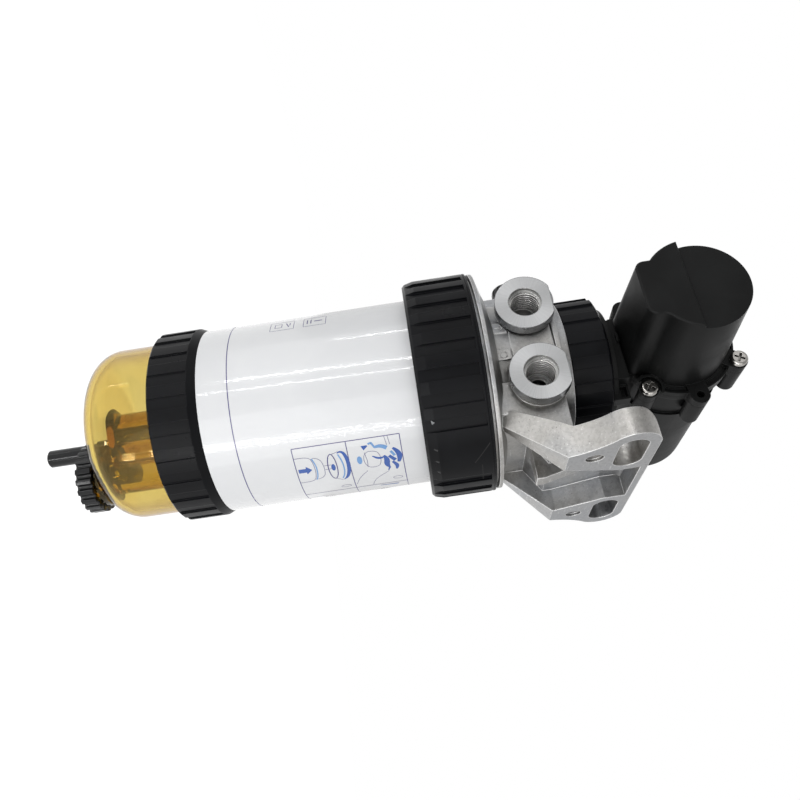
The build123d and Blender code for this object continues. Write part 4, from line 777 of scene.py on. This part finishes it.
# Painted shade: flat lines a little darker than the collar stand for the shade in its grooves.
groove_shade_lines = [
    ink_line([(-32.8, -3.6), (-21.9, -10.5)], 0.35, radius=collar_radius),
    ink_line([(-20.0, -7.5), (-8.0, -7.5)], 0.22, radius=collar_radius),
]
arrow = [ink_line([(-48.2, -26.2), (-46.6, -25.4)], [0.2, 1.4], radius=collar_radius)]
ticks = []
radius = np.linspace(*tick_radii, tick_points)
lean = np.radians(np.linspace(-tick_lean, tick_lean, tick_points))
for tick_angle in tick_angles:
    angle = np.radians(tick_angle) + lean
    outward = np.stack([np.cos(angle), np.sin(angle), np.full(tick_points, tick_slope)], axis=1)
    path = outward * radius[:, None]
    path[:, 2] = np.linspace(*tick_heights, tick_points)
    outward /= np.linalg.norm(outward, axis=1, keepdims=True)
    ticks.append(bead(path, outward, tick_width, tick_rise))
for label, grids, colour in (
    ("collar_groove_shade", groove_shade_lines, (0.002, 0.002, 0.002)),
    ("collar_ticks", ticks, (0.012, 0.012, 0.013)),
    ("collar_arrow", arrow, (0.24, 0.25, 0.26)),
):
    paint, tree, shader = material(label, colour, 0.5)
    grain = noise(tree, object_place(tree), 1500, 2)
    tree.links.new(between(tree, grain, 0.4, 0.6), shader.inputs["Roughness"])
    mark = grid_mesh(label, grids)
    mark.data.materials.append(paint)
    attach(mark, "lock_ring")

# Water bowl: clear amber nylon, moulded in one with its post and drain well and held under
# the can by the bowl collar. The colour deepens with the thickness that is looked through,
# and the rim of the wall and of the foot is painted darker where it is seen edge-on.
post_reach, wall_reach = 0.026, 0.032
foot_low, foot_high = -0.172, -0.166
bowl_wave_depth = 0.0001
dye_colour = (0.855, 0.735, 0.04, 1.0)
dye_density = 340.0
amber, tree, shader = material("amber_bowl", (1.0, 1.0, 1.0), 0.02)
shader.inputs["Transmission Weight"].default_value = 1.0
shader.inputs["IOR"].default_value = 1.49
shader.inputs["Specular IOR Level"].default_value = 0.25
shader.inputs["Specular Tint"].default_value = (1.0, 0.80, 0.42, 1.0)
# Painted shade: the colour turns deep orange-brown where the wall and foot are seen edge-on.
grazing = add(tree, "LayerWeight", 0.30).outputs["Facing"]
rim = between(tree, grazing, 0.0, 1.0, 0.30, 0.72)
place = object_place(tree)
x, y, z = add(tree, "SeparateXYZ", place).outputs
on_wall = between(tree, away(tree, x, y), 0.0, 1.0, post_reach, wall_reach)
on_foot = between(tree, z, 1.0, 0.0, foot_low, foot_high)
rim = maths(tree, "MULTIPLY", rim, maths(tree, "MAXIMUM", on_wall, on_foot))
rim_painted_tint = blend(tree, rim, (0.90, 0.88, 0.88), (0.28, 0.11, 0.01))
tree.links.new(rim_painted_tint, shader.inputs["Base Color"])
wave = relief(tree, noise(tree, place, 90, 2), bowl_wave_depth, 0.25)
tree.links.new(wave, shader.inputs["Normal"])
dye = add(tree, "VolumeAbsorption", dye_colour, dye_density)
tree.links.new(dye.outputs[0], tree.nodes["Material Output"].inputs["Volume"])

# Metals and fillings: screws and shaft of bright nickel, tinned sheet parts, brass bushes
# and pins, copper wire, dark magnets, and the pleated paper of the element.
metal_edge = 0.0003
cavity_shade_reach = 0.0012
metal_grain_depth = 0.000008
fibre_depth = 0.00006


def metal(name, dark, light, roughness, grain):
    """Metal whose tone and gloss change slowly between a dark and a light value."""
    new, tree, shader = material(name, dark, roughness, 1.0)
    place = object_place(tree)
    rounded, edge = soft_edges(tree, metal_edge)
    tone = noise(tree, place, grain, 3)
    # Painted highlight: the edges take the light colour.
    shade = maths(tree, "MAXIMUM", between(tree, tone, 0.0, 1.0, 0.3, 0.7), edge)
    # Painted shade: the colour is darkened in cavities.
    shade = dimmed(tree, blend(tree, shade, dark, light), painted_cavity_shade(tree, cavity_shade_reach, 0.03))
    tree.links.new(shade, shader.inputs["Base Color"])
    rough = between(tree, tone, roughness - 0.06, roughness + 0.08, 0.3, 0.7)
    tree.links.new(rough, shader.inputs["Roughness"])
    tree.links.new(relief(tree, tone, metal_grain_depth, 0.5, rounded), shader.inputs["Normal"])
    return new


nickel = metal("bright_steel", (0.40, 0.385, 0.36), (0.62, 0.60, 0.57), 0.18, 700)
tin = metal("tin_plate", (0.48, 0.48, 0.47), (0.66, 0.66, 0.65), 0.34, 300)
brass = metal("brass", (0.60, 0.43, 0.18), (0.82, 0.64, 0.32), 0.28, 400)
copper = metal("copper", (0.55, 0.24, 0.12), (0.80, 0.42, 0.24), 0.32, 900)
magnet = metal("magnet", (0.07, 0.07, 0.075), (0.14, 0.14, 0.145), 0.55, 1200)
paper, tree, shader = material("paper", (0.74, 0.60, 0.36), 0.9)
place = object_place(tree)
fibre = noise(tree, place, 1600, 4, 1.5)
buff = blend(tree, fibre, (0.62, 0.48, 0.27), (0.80, 0.67, 0.43))
tree.links.new(buff, shader.inputs["Base Color"])
tree.links.new(relief(tree, fibre, fibre_depth, 0.5), shader.inputs["Normal"])

# Finishes: every CAD solid gets the one of its slot in the record. Three differ in looks
# only: the seat ring in the inlet is tinned, and the drain knob and the bleed screw are
# glossier than the other black mouldings.
finishes = {
    "head_casting": cast,
    "can_paint": enamel,
    "black_plastic": black_plastic,
    "pump_plastic": pump_plastic,
    "amber_bowl": amber,
    "rubber": rubber,
    "bright_steel": nickel,
    "brass": brass,
    "paper": paper,
    "copper": copper,
    "magnet": magnet,
    "tin_plate": tin,
}
for row in frame["record"]["subparts"]:
    for slot in frame["nodes"][row["node"]].material_slots:
        slot.material = finishes[row["material_slot"]]
frame["nodes"]["inlet_seat"].material_slots[0].material = tin
for name in ("drain_knob", "bleed_screw"):
    frame["nodes"][name].material_slots[0].material = knob_plastic
